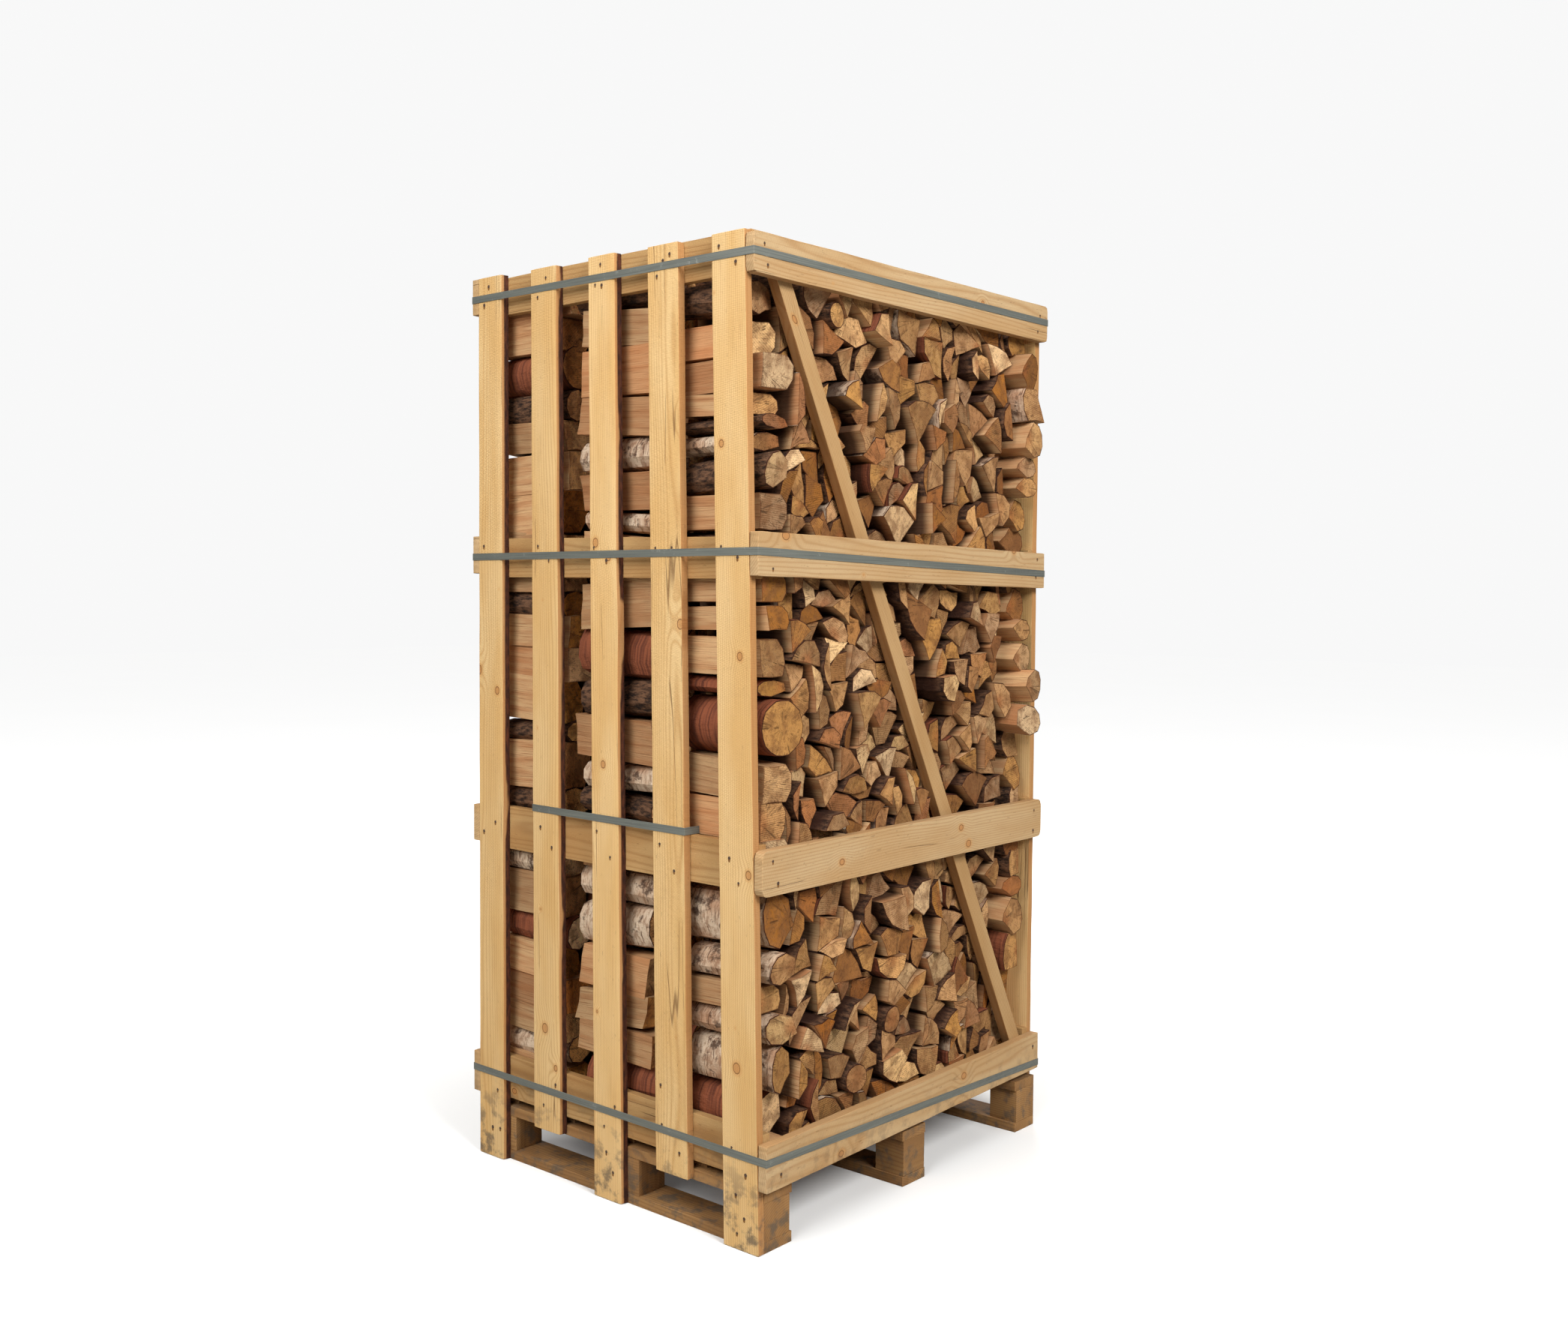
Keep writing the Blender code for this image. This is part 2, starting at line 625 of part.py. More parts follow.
def core_corner(low, high, side):
    """The plain middle of a stack, which leans as the crate does."""

    def corner(u, v, w):
        y, z = between(low[1], high[1], v), between(low[2], high[2], w)
        x = between(low[0], high[0], u)
        if side == "right":
            return Vector((x + rack(WIDTH, y, z) - WIDTH, y, z))
        return Vector((rack(x, y, z) if side == "middle" else x, y, z))

    return corner


def tie_channel(side, cutters):
    """The way of the tie through a stack, from front to back."""
    end = 0 if side == "left" else 1
    x = tie_places()[end]
    bm = bmesh.new()
    bmesh.ops.create_cube(bm, size=1.0)
    for vertex in bm.verts:
        u, v, w = vertex.co
        y = DEPTH / 2 + v * (DEPTH + 2 * CUT_PAST)
        spot = between(x[0], x[1], y / DEPTH) + u * TIE_CHANNEL[0]
        vertex.co = (spot, y, TIE_HEIGHT[end] + w * TIE_CHANNEL[1])
    return helper_object(f"tie_channel_{side}", bm, cutters)


def brace_channel(side, cutters):
    """The room that the load leaves for a brace, open to the outside of the crate."""
    rule = left_brace_corner if side == "left" else right_brace_corner
    wide = 2 * BRACE_ROOM / BRACE_WIDTH
    bm = bmesh.new()
    bmesh.ops.create_cube(bm, size=1.0)
    for vertex in bm.verts:
        u, v, w = (c + 0.5 for c in vertex.co)
        outward = (u > 0.5) == (side == "right")
        past = (CUT_PAST if outward else BEHIND_BRACE - BRACE_THICK) / BRACE_THICK
        u = u + past if u > 0.5 else u - past
        vertex.co = rule(u, v + (v - 0.5) * wide, w + (w - 0.5) * CUT_PAST)
    return helper_object(f"brace_channel_{side}", bm, cutters)


def build_stack(side, surfaces, parts, cutters):
    """One stack of logs as a solid: the outer logs whole, the rest a core with raised ends."""
    rng = np.random.default_rng(STACK_SEED[side])
    low_x, high_x = CORE_X[side]
    core_low = (low_x, LOAD_CLEAR + CORE_INSET, LOAD_FOOT)
    core_high = (high_x, DEPTH - LOAD_CLEAR - CORE_INSET, LOAD_TOP[side] - CORE_BELOW_TOP)
    bm = bmesh.new()
    for _kind, points, _bark, _pith in pack_logs(side):
        x0, x1 = log_tips(points, side, rng)
        section = few_corners(points)
        low, high = section.min(axis=0), section.max(axis=0)
        reach = np.minimum(high, core_high[1:]) - np.maximum(low, core_low[1:])
        if reach.min() < LEAST_HOLD:
            continue
        outer = low[0] < core_low[1] or high[0] > core_high[1] or high[1] > core_high[2]
        y, z = section.mean(axis=0)
        face = rack(WIDTH, y, z) - WIDTH + core_high[0]
        if outer:
            add_prism(bm, section, x0, x1)
        elif side == "right" and x1 > face + RAISED:
            add_prism(bm, section, face - ROOT, x1)
        elif side == "left" and x0 < core_low[0] - RAISED:
            add_prism(bm, section, x0, core_low[0] + ROOT)
    prisms = helper_object(f"log_prisms_{side}", bm, cutters)
    stack = plank(f"logs_{side}", core_corner(core_low, core_high, side), surfaces["log"], parts)
    boolean(stack, prisms, "UNION")
    if side != "middle":
        boolean(stack, brace_channel(side, cutters), "DIFFERENCE")
        boolean(stack, tie_channel(side, cutters), "DIFFERENCE")


def main():
    clear_scene()
    parts = new_collection("Firewood crate")
    cutters = new_collection("Cutters")
    surfaces = {
        "floor_board": wood("pallet wood, dusty", (0.42, 0.29, 0.16)),
        "stringer": wood("stringer wood", (0.50, 0.35, 0.18)),
        "deck_board": wood("deck wood", (0.48, 0.30, 0.15)),
        "block": wood("block wood", (0.50, 0.33, 0.17)),
        "slat": wood("sawn slat", (0.66, 0.47, 0.23)),
        "rail": wood("sawn rail", (0.60, 0.42, 0.21)),
        "board": wood("sawn board", (0.64, 0.45, 0.22)),
        "brace": wood("sawn brace", (0.52, 0.34, 0.16)),
        "log": wood("split birch", (0.46, 0.29, 0.17), 0.9),
        "strap": wood("grey strapping", (0.13, 0.14, 0.14), 0.5),
    }
    build_pallet(surfaces, parts)
    for side in ("front", "back"):
        build_frame(side, surfaces, parts)
    build_side_boards(surfaces, parts)
    build_braces(surfaces, parts)
    build_straps(surfaces, parts)
    for side in ("left", "middle", "right"):
        build_stack(side, surfaces, parts, cutters)


main()
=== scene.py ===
# %% [markdown]
# A crate of split firewood, dressed around its solids
#
# The real object is a pallet with a slatted crate on it, filled with three stacks of split
# hardwood and held by grey strapping. The solids fix where everything is. This script gives
# each board, log, strap and nail its fine shape and its surface, and never moves a solid.

import math

import bpy
import numpy as np
from mathutils import Matrix, Vector


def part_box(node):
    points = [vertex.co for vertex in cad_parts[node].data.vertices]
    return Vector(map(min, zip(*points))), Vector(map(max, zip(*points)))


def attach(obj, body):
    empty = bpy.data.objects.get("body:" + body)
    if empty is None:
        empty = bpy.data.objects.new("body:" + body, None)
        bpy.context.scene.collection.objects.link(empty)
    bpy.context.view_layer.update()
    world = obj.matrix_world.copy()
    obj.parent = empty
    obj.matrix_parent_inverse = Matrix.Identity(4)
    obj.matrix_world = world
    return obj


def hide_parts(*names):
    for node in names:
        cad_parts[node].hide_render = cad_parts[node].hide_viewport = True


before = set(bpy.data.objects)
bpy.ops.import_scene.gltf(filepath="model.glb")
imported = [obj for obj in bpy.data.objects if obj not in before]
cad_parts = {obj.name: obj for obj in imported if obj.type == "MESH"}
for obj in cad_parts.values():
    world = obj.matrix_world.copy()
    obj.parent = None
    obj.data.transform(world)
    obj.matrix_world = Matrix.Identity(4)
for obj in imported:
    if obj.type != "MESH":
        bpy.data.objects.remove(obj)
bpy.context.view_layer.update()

# %% [markdown]
# The camera
#
# A camera can be placed by eye, but here its place was worked out from the crate's own edges in
# the photograph: where the slats and boards cross gives the lens, the height and the turn. So it
# is set from three directions, which make the columns of its matrix.

# %% Camera
CAMERA_PLACE = Vector((2.3834, -2.7249, 1.2929))
CAMERA_FORWARD = Vector((-0.65104, 0.75790, -0.04151))
CAMERA_RIGHT = Vector((0.75837, 0.65179, 0.00638))
CAMERA_LENS = 35.04  # millimetres, on a frame 36 mm wide


def add_camera():
    right = CAMERA_RIGHT.normalized()
    back = -CAMERA_FORWARD.normalized()
    up = back.cross(right)
    turned = Matrix((right, up, back)).transposed().to_4x4()
    camera = bpy.data.objects.new("camera", bpy.data.cameras.new("camera"))
    camera.data.lens = CAMERA_LENS
    camera.data.sensor_width = 36.0
    camera.matrix_world = Matrix.Translation(CAMERA_PLACE) @ turned
    bpy.context.scene.collection.objects.link(camera)
    bpy.context.scene.camera = camera


add_camera()
print("camera at", [round(c, 2) for c in CAMERA_PLACE])

# %% [markdown]
# Wiring nodes in a few words
#
# Both materials and Geometry Nodes are graphs. Adding and linking every node by hand takes four
# lines each, so two small classes do it. What comes out of a node is a Flow, and plain arithmetic
# with flows adds the nodes for it: a * 2 is a Multiply node. So a rule can be read as a formula.


# %% What runs along a wire
class Flow:
    def __init__(self, wires, socket):
        self.wires = wires
        self.socket = socket

    def __add__(self, other):
        return self.wires.combine("ADD", self, other)

    def __radd__(self, other):
        return self.wires.combine("ADD", other, self)

    def __sub__(self, other):
        return self.wires.combine("SUBTRACT", self, other)

    def __rsub__(self, other):
        return self.wires.combine("SUBTRACT", other, self)

    def __mul__(self, other):
        return self.wires.combine("MULTIPLY", self, other)

    def __truediv__(self, other):
        return self.wires.combine("DIVIDE", self, other)

    def __rtruediv__(self, other):
        return self.wires.combine("DIVIDE", other, self)

    def __pow__(self, other):
        return self.wires.math("POWER", self, other)

    def __gt__(self, other):
        return self.wires.math("GREATER_THAN", self, other)

    def __abs__(self):
        return self.wires.math("ABSOLUTE", self)

    def length(self):
        return self.wires.vector("LENGTH", self)

    def unit(self):
        return self.wires.vector("NORMALIZE", self)


# %% A short way to wire nodes
class Wiring:
    def __init__(self, tree):
        self.tree = tree

    def feed(self, socket, value):
        """A value is a number, a tuple, a material, a socket or a flow."""
        value = getattr(value, "socket", value)
        if isinstance(value, bpy.types.NodeSocket):
            self.tree.links.new(value, socket)
        else:
            socket.default_value = value

    def node(self, kind, values=None, **settings):
        """A new node; values go to its inputs, by name or by number."""
        made = self.tree.nodes.new(kind)
        for name, value in settings.items():
            setattr(made, name, value)
        for key, value in (values or {}).items():
            if isinstance(key, int):
                socket = made.inputs[key]
            else:
                socket = next(s for s in made.inputs if s.name == key and s.enabled)
            self.feed(socket, value)
        return made

    def out(self, kind, values=None, pick=0, **settings):
        """What comes out of such a node."""
        return Flow(self, self.node(kind, values, **settings).outputs[pick])

    def math(self, operation, *values):
        return self.out("ShaderNodeMath", dict(enumerate(values)), operation=operation)

    def vector(self, operation, *values):
        pick = 1 if operation in ("LENGTH", "DOT_PRODUCT") else 0
        return self.out("ShaderNodeVectorMath", dict(enumerate(values)), pick, operation=operation)

    def combine(self, operation, *values):
        """Arithmetic on vectors where one of the values is a vector, and on numbers otherwise."""
        sockets = [getattr(value, "socket", value) for value in values]
        vectors = [isinstance(s, tuple) or getattr(s, "type", "") == "VECTOR" for s in sockets]
        if not any(vectors):
            return self.math(operation, *values)
        if operation == "MULTIPLY" and not vectors[1]:
            scale = {0: values[0], 3: values[1]}
            return self.out("ShaderNodeVectorMath", scale, operation="SCALE")
        return self.vector(operation, *values)

    def within(self, value, limit):
        """The value, kept from -limit to limit."""
        return self.math("MINIMUM", self.math("MAXIMUM", value, limit * -1.0), limit)

    def wave(self, value):
        """A wave from 0 to 1."""
        return self.math("SINE", value) * 0.5 + 0.5

    def join(self, x, y, z):
        return self.out("ShaderNodeCombineXYZ", {0: x, 1: y, 2: z})

    def split(self, vector):
        return [Flow(self, s) for s in self.node("ShaderNodeSeparateXYZ", {0: vector}).outputs]

    def join_shapes(self, *shapes):
        made = self.node("GeometryNodeJoinGeometry")
        for shape in shapes:
            self.feed(made.inputs[0], shape)
        return made.outputs[0]

    def span(self, value, low, high, to_low=0.0, to_high=1.0, smooth=True):
        """The value's place between low and high, as a number from to_low to to_high."""
        kind = "SMOOTHSTEP" if smooth else "LINEAR"
        values = {0: value, 1: low, 2: high, 3: to_low, 4: to_high}
        return self.out("ShaderNodeMapRange", values, interpolation_type=kind)

    def noise(self, vector, detail=2.0, rough=0.5, scale=1.0):
        values = {"Vector": vector, "Scale": scale, "Detail": detail, "Roughness": rough}
        return self.out("ShaderNodeTexNoise", values)

    def mix(self, share, a, b, kind="RGBA"):
        first, pick = {"FLOAT": (2, 0), "VECTOR": (4, 1), "RGBA": (6, 2)}[kind]
        made = self.node("ShaderNodeMix", {0: share, first: a, first + 1: b}, data_type=kind)
        made.clamp_factor = kind == "RGBA"
        return Flow(self, made.outputs[pick])

    def stained(self, colour, *stains):
        """The colour with each (where, how much, stain) laid over it in turn."""
        for where, amount, stain in stains:
            colour = self.mix(where * amount, colour, paint(*stain))
        return colour

    def toned(self, colour, value, saturation=1.0):
        values = {"Value": value, "Saturation": saturation, "Color": colour}
        return self.out("ShaderNodeHueSaturation", values)

    def place(self):
        return self.out("ShaderNodeTexCoord", pick="Object")


print("wiring classes ready")

# %% [markdown]
# Colours
#
# A photograph's colours are read on a scale from 0 to 255 that is not linear in light, and a
# shader wants linear light. The helper converts, so that the values below can be compared with
# the photograph. The view is set to Standard, which shows them as they are.


# %% Paint values
def paint(red, green, blue):
    def linear(value):
        value /= 255
        return value / 12.92 if value <= 0.04045 else ((value + 0.055) / 1.055) ** 2.4

    return (linear(red), linear(green), linear(blue), 1.0)


def surface(name, roughness, specular=0.3):
    """A new material: itself, its wiring and its shader."""
    made = bpy.data.materials.new(name)
    made.use_nodes = True
    shader = made.node_tree.nodes["Principled BSDF"]
    shader.inputs["Roughness"].default_value = roughness
    shader.inputs["Specular IOR Level"].default_value = specular
    return made, Wiring(made.node_tree), shader


def finish_surface(wires, shader, colour, height=None, depth=0.001, strength=1.0, roughness=None):
    """Links the colour, the relief (height from 0 to 1, depth in metres) and the roughness."""
    wires.feed(shader.inputs["Base Color"], colour)
    if height is not None:
        values = {"Strength": strength, "Distance": depth, "Height": height}
        wires.feed(shader.inputs["Normal"], wires.out("ShaderNodeBump", values))
    if roughness is not None:
        wires.feed(shader.inputs["Roughness"], roughness)


def read(wires, name, pick="Fac"):
    return wires.out("ShaderNodeAttribute", pick=pick, attribute_name=name)


bpy.context.scene.view_settings.view_transform = "Standard"
print("view:", bpy.context.scene.view_settings.view_transform)

# %% [markdown]
# Studio floor and light
#
# The photograph is cut out on white, in the soft light of an overcast day. A wide pale floor, an
# even sky and three soft lamps give that light without hard shadows. Sky and floor are dim for
# the load, so that the gaps between the logs go dark as they do outdoors, but pale to the camera:
# a Light Path node tells the two apart.

# %% Stage
FLOOR_SIZE = 60.0
SKY_LIGHT = 0.19
BACKDROP = 0.94
FLOOR_GLOW = 0.77  # added for the camera alone, away from the crate, to match the backdrop


def add_floor():
    half = FLOOR_SIZE / 2
    mesh = bpy.data.meshes.new("floor")
    corners = [(x * half, y * half, 0) for x, y in ((-1, -1), (1, -1), (1, 1), (-1, 1))]
    mesh.from_pydata(corners, [], [(0, 1, 2, 3)])
    floor = bpy.data.objects.new("floor", mesh)
    made, wires, shader = surface("pale floor", 0.9, 0.1)
    place = wires.place()
    cloud = wires.noise(place, 3.0, scale=0.8)
    tone = wires.mix(cloud, paint(238, 238, 236), paint(246, 246, 245))
    seen = wires.out("ShaderNodeLightPath", pick="Is Camera Ray")
    finish_surface(wires, shader, wires.mix(seen, paint(168, 164, 156), tone))
    shader.inputs["Emission Color"].default_value = (1.0, 1.0, 1.0, 1.0)
    away = wires.span(place.length(), 0.5, 2.2, 0.05, FLOOR_GLOW)
    wires.feed(shader.inputs["Emission Strength"], seen * away)
    mesh.materials.append(made)
    bpy.context.scene.collection.objects.link(floor)


def add_lamp(name, place, target, size, power):
    lamp = bpy.data.lights.new(name, "AREA")
    lamp.size = size
    lamp.energy = power
    obj = bpy.data.objects.new(name, lamp)
    obj.location = place
    obj.rotation_euler = (Vector(target) - Vector(place)).to_track_quat("-Z", "Y").to_euler()
    bpy.context.scene.collection.objects.link(obj)


def add_world():
    world = bpy.data.worlds.new("studio")
    bpy.context.scene.world = world
    world.use_nodes = True
    wires = Wiring(world.node_tree)
    shade = world.node_tree.nodes["Background"]
    shade.inputs["Color"].default_value = (1.0, 1.0, 1.0, 1.0)
    seen = wires.out("ShaderNodeLightPath", pick="Is Camera Ray")
    strength = wires.mix(seen, SKY_LIGHT, BACKDROP, "FLOAT")
    wires.feed(shade.inputs["Strength"], strength)


add_floor()
add_world()
add_lamp("key", (0.6, -5.0, 4.8), (0, 0, 1.0), 4.0, 360)
add_lamp("side", (5.0, -1.4, 4.2), (0, 0, 1.0), 2.2, 375)
add_lamp("back", (-3.6, 4.6, 4.4), (0, 0, 1.0), 3.0, 260)
print("stage ready")

# %% [markdown]
# Geometry Nodes trees with named inputs
#
# A tree is a recipe that can be used on many pieces. This helper declares its inputs by name, and
# grow() runs it on a mesh: it sets each input by its identifier, reads the finished mesh, and
# takes the modifier away, so that only plain geometry stays in the file.


# %% Making and running a tree
def new_tree(name, inputs):
    """A geometry tree with these inputs, name to (kind, value): its wiring and its inputs."""
    tree = bpy.data.node_groups.new(name, "GeometryNodeTree")
    tree.interface.new_socket("Geometry", in_out="INPUT", socket_type="NodeSocketGeometry")
    for label, (kind, value) in inputs.items():
        made = tree.interface.new_socket(label, in_out="INPUT", socket_type="NodeSocket" + kind)
        if value is not None:
            made.default_value = value
    tree.interface.new_socket("Geometry", in_out="OUTPUT", socket_type="NodeSocketGeometry")
    wires = Wiring(tree)
    sockets = tree.nodes.new("NodeGroupInput").outputs
    return wires, {socket.name: Flow(wires, socket) for socket in sockets if socket.name}


def end_tree(wires, geometry, materials):
    """Realizes the instances, sets each (material, selection) and links the output."""
    geometry = wires.out("GeometryNodeRealizeInstances", {"Geometry": geometry})
    for material, selection in materials:
        values = {"Geometry": geometry, "Material": material}
        if selection is not None:
            values["Selection"] = selection
        geometry = wires.out("GeometryNodeSetMaterial", values)
    out = wires.tree.nodes.new("NodeGroupOutput")
    wires.feed(out.inputs[0], geometry)
    return wires.tree


def store(wires, geometry, name, kind, value, domain="POINT", selection=None):
    values = {"Geometry": geometry, "Name": name, "Value": value}
    if selection is not None:
        values["Selection"] = selection
    return wires.out("GeometryNodeStoreNamedAttribute", values, data_type=kind, domain=domain)


def named(wires, name, kind="FLOAT"):
    values = {"Name": name}
    return wires.out("GeometryNodeInputNamedAttribute", values, data_type=kind)


def grow(name, tree, base, crease=18.0, **values):
    """The piece that the tree makes of the mesh, with its modifier gone."""
    obj = bpy.data.objects.new(name, base)
    step = obj.modifiers.new(tree.name, "NODES")
    step.node_group = tree
    for item in tree.interface.items_tree:
        if item.in_out == "INPUT" and item.name in values:
            step[item.identifier] = values[item.name]
    bpy.context.scene.collection.objects.link(obj)
    graph = bpy.context.evaluated_depsgraph_get()
    made = bpy.data.meshes.new_from_object(
        obj.evaluated_get(graph), preserve_all_data_layers=True, depsgraph=graph
    )
    obj.modifiers.clear()
    obj.data = made
    made.name = name
    made.shade_smooth()
    made.set_sharp_from_angle(angle=math.radians(crease))
    return obj


def settle(obj, slot, *nodes):
    """The piece rides on the one body and stands for its solids, which are hidden; the slot is not
    used.
    """
    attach(obj, "root")
    if nodes:
        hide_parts(*nodes)
    return obj


print("tree helpers ready")

# %% [markdown]
# Sawn softwood
#
# Crate wood is cheap spruce or pine, sawn and not planed: pale yellow, with darker growth rings
# that run along the board, small knots, fine furrows from the saw, and dirt where it is handled.
# An image could be wrapped round each board, but a solid pattern is simpler and truer. Each point
# of a board knows its place along, across and through it, and its distance from the tree's pith
# gives the ring it is in. The same rule then draws long lines on the faces and arcs on the ends.


# %% Sawn timber material
TREE_RING = 0.0052  # metres from one growth ring to the next
SAW_STEP = 0.0034  # and from one furrow of the saw to the next
TURN = 2 * math.pi


def sawn_wood(name, pale, warm, late, saw, grime, cracks=0.0, edge=0.0):
    made, wires, shader = surface(name, 0.75, 0.25)
    grain = read(wires, "grain", "Vector")
    along, across, through = wires.split(grain)
    tone = wires.split(read(wires, "tone", "Vector"))
    # Knots: a few of the cells of a stretched pattern hold one, where a branch grew.
    cell_place = grain * (2.3, 8.0, 0.0)
    values = {"Vector": cell_place, "Scale": 1.0}
    cells = wires.node("ShaderNodeTexVoronoi", values, voronoi_dimensions="2D")
    off_knot = ((cells.outputs["Position"] - cell_place) * (0.35, 0.125, 0.0)).length()
    chance = wires.split(cells.outputs["Color"])[0]
    knot_size = wires.span(chance, 0.45, 1.0, 0.0, 0.011, smooth=False)
    knot = wires.span(off_knot, knot_size * 0.55, knot_size, 1.0, 0.0)
    knot_rim = wires.span(off_knot, knot_size, knot_size + 0.006, 1.0, 0.0)
    swerve = wires.span(off_knot, 0.0, knot_size * 5.0, 1.0, 0.0)
    to_line = abs(off_knot - knot_size * 0.8)
    knot_line = wires.span(to_line, 0.0004, 0.0014, 1.0, 0.0) * wires.span(knot_size, 0.002, 0.004)
    # Growth rings about a pith that lies beside the board, and swerve round a knot.
    from_pith = across - (tone[0] * 0.16 - 0.08), through - (tone[1] * -0.10 - 0.015)
    from_pith = wires.join(*from_pith, 0.0)
    radius = from_pith.length() + wires.noise(grain * (1.3, 7.0, 1.0)) * 0.035 + swerve * 0.010
    late_wood = wires.wave(radius * (TURN / TREE_RING)) ** 3.0
    # Fibres: noise drawn out along the board.
    fibre = wires.noise(grain * (7.0, 420.0, 420.0), 3.0, 0.6)
    fuzz = wires.noise(grain * (130.0, 700.0, 700.0))
    cloud = wires.noise(grain * (3.0, 14.0, 1.0))
    # Furrows that the saw left across the board.
    slant = (across * 0.25 + along) * (TURN / SAW_STEP)
    furrow = wires.wave(wires.noise(grain * (55.0, 9.0, 1.0)) * 6.0 + slant)
    # Long drying cracks that follow the grain.
    split_line = abs(wires.noise(grain * (1.1, 26.0, 1.0), 1.0) - 0.5)
    split_here = wires.noise(wires.join(along * 3.1, across * 12.0, 7.0), 1.0)
    crack = wires.span(split_line, 0.0, 0.013, 1.0, 0.0)
    crack = crack * wires.span(split_here, 0.62 - 0.12 * cracks, 0.68 - 0.12 * cracks)
    colour = wires.mix(wires.span(cloud, 0.3, 0.7), paint(*pale), paint(*warm))
    colour = wires.stained(
        colour,
        (late_wood, 0.5, late),
        (wires.span(fibre, 0.56, 0.72), 0.35, (160, 112, 60)),
        (furrow, 0.10 * saw, (120, 80, 40)),
        (knot_rim, 0.40, (196, 138, 74)),
        (knot, 0.55, (176, 116, 62)),
        (knot_line, 0.75, (98, 58, 30)),
        (crack, 0.7, (104, 70, 38)),
        # The narrow side faces: the warmer colour of a sawn edge, darkened as painted shade of the
        # recessed sides.
        (read(wires, "edge"), edge, (160, 106, 58)),
    )
    # Each board has its own tone, and blotches darken it towards the floor.
    colour = wires.toned(colour, wires.span(tone[2], 0.0, 1.0, 0.92, 1.02, smooth=False))
    place = wires.place()
    low = wires.span(wires.split(place)[2], 0.03, 0.24, 1.0, 0.0)
    blot = wires.span(wires.noise(place, 4.0, 0.65, scale=28.0), 0.47, 0.66)
    speck = wires.span(wires.noise(grain * (60.0, 220.0, 220.0), 1.0), 0.70, 0.76)
    low_blotches = blot * (low * 0.75 + 0.05 * grime)
    colour = wires.stained(colour, (low_blotches, 1.0, (92, 82, 70)), (speck, 0.5 * grime, (96, 66, 40)))
    # Bark and soft dark wood where the edge of the tree shows, darkened to serve also as painted
    # shade on the slats' side faces.
    bark_noise = wires.noise(grain * (40.0, 160.0, 160.0), 3.0)
    bark = wires.mix(wires.span(bark_noise, 0.35, 0.75), paint(46, 21, 10), paint(86, 44, 22))
    colour = wires.mix(wires.span(read(wires, "wane"), 0.18, 0.42), colour, bark)
    torn = wires.noise(wires.join(along * 90.0, across * 150.0, 3.0), 3.0, 0.7)
    height = furrow * saw + fuzz * 0.8 + fibre * 0.8 + torn * (0.6 + 2.4 * cracks) + crack * -2.0
    finish_surface(wires, shader, colour, height, 0.0006, 0.8)
    return made


SLAT_PAINTS = ((222, 188, 134), (213, 172, 112), (188, 140, 82))
RAIL_PAINTS = ((184, 148, 98), (170, 128, 78), (148, 104, 60))
BOARD_PAINTS = ((198, 168, 126), (188, 152, 106), (166, 124, 78))
BRACE_PAINTS = ((190, 155, 108), (178, 140, 92), (154, 110, 66))
PALLET_PAINTS = ((164, 124, 78), (142, 104, 64), (118, 80, 46))
TIMBER = {
    "slat": sawn_wood("sawn slat", *SLAT_PAINTS, 0.45, 0.5, edge=0.75),
    "rough": sawn_wood("rough slat", *SLAT_PAINTS, 0.3, 0.7, cracks=1.0, edge=0.7),
    "rail": sawn_wood("sawn rail", *RAIL_PAINTS, 0.35, 0.6, cracks=0.5),
    "board": sawn_wood("sawn side board", *BOARD_PAINTS, 0.8, 0.6, edge=0.25),
    "brace": sawn_wood("sawn brace", *BRACE_PAINTS, 0.3, 0.4, edge=0.6),
    "pallet": sawn_wood("pallet timber", *PALLET_PAINTS, 0.5, 0.9),
}
print("timber finishes:", ", ".join(TIMBER))

# %% [markdown]
# Boards
#
# A sawn board is a box, but a plain cube looks like plastic: the real one has softened arrises,
# corners knocked round, faces that are not quite flat, and on some edges the round, bark-covered
# outside of the tree, which sawyers call wane. Modelling fifty boards by hand would be slow, and a
# bevel alone gives neither waves nor wane. So one tree makes them all: a cube cut into many small
# faces is drawn to its real size with rounded edges, roughened, and then fitted between the eight
# corners of its solid, so a board that leans in the crate leans here too.

# %% The board tree
EDGE_ROUND = 0.0012
WANE_WIDTH = 0.008
ENDS_CROWD = 0.75  # how far the cuts along a board crowd towards its ends
AT_EDGE = 0.4999  # where the cube's own edge is


def grid_place(wires, value, count, half, crowd):
    """A cube coordinate drawn to real size, its outermost cells as wide as the edge is round."""
    cell = 1.0 / (count - 1)
    inner = value / (0.5 - cell)
    eased = wires.math("SINE", inner * (math.pi / 2))
    inner = wires.mix(crowd, inner, eased, "FLOAT") * (half - EDGE_ROUND)
    at_end = abs(value) > cell * -0.5 + 0.5
    return wires.mix(at_end, inner, wires.math("SIGN", value) * half, "FLOAT")


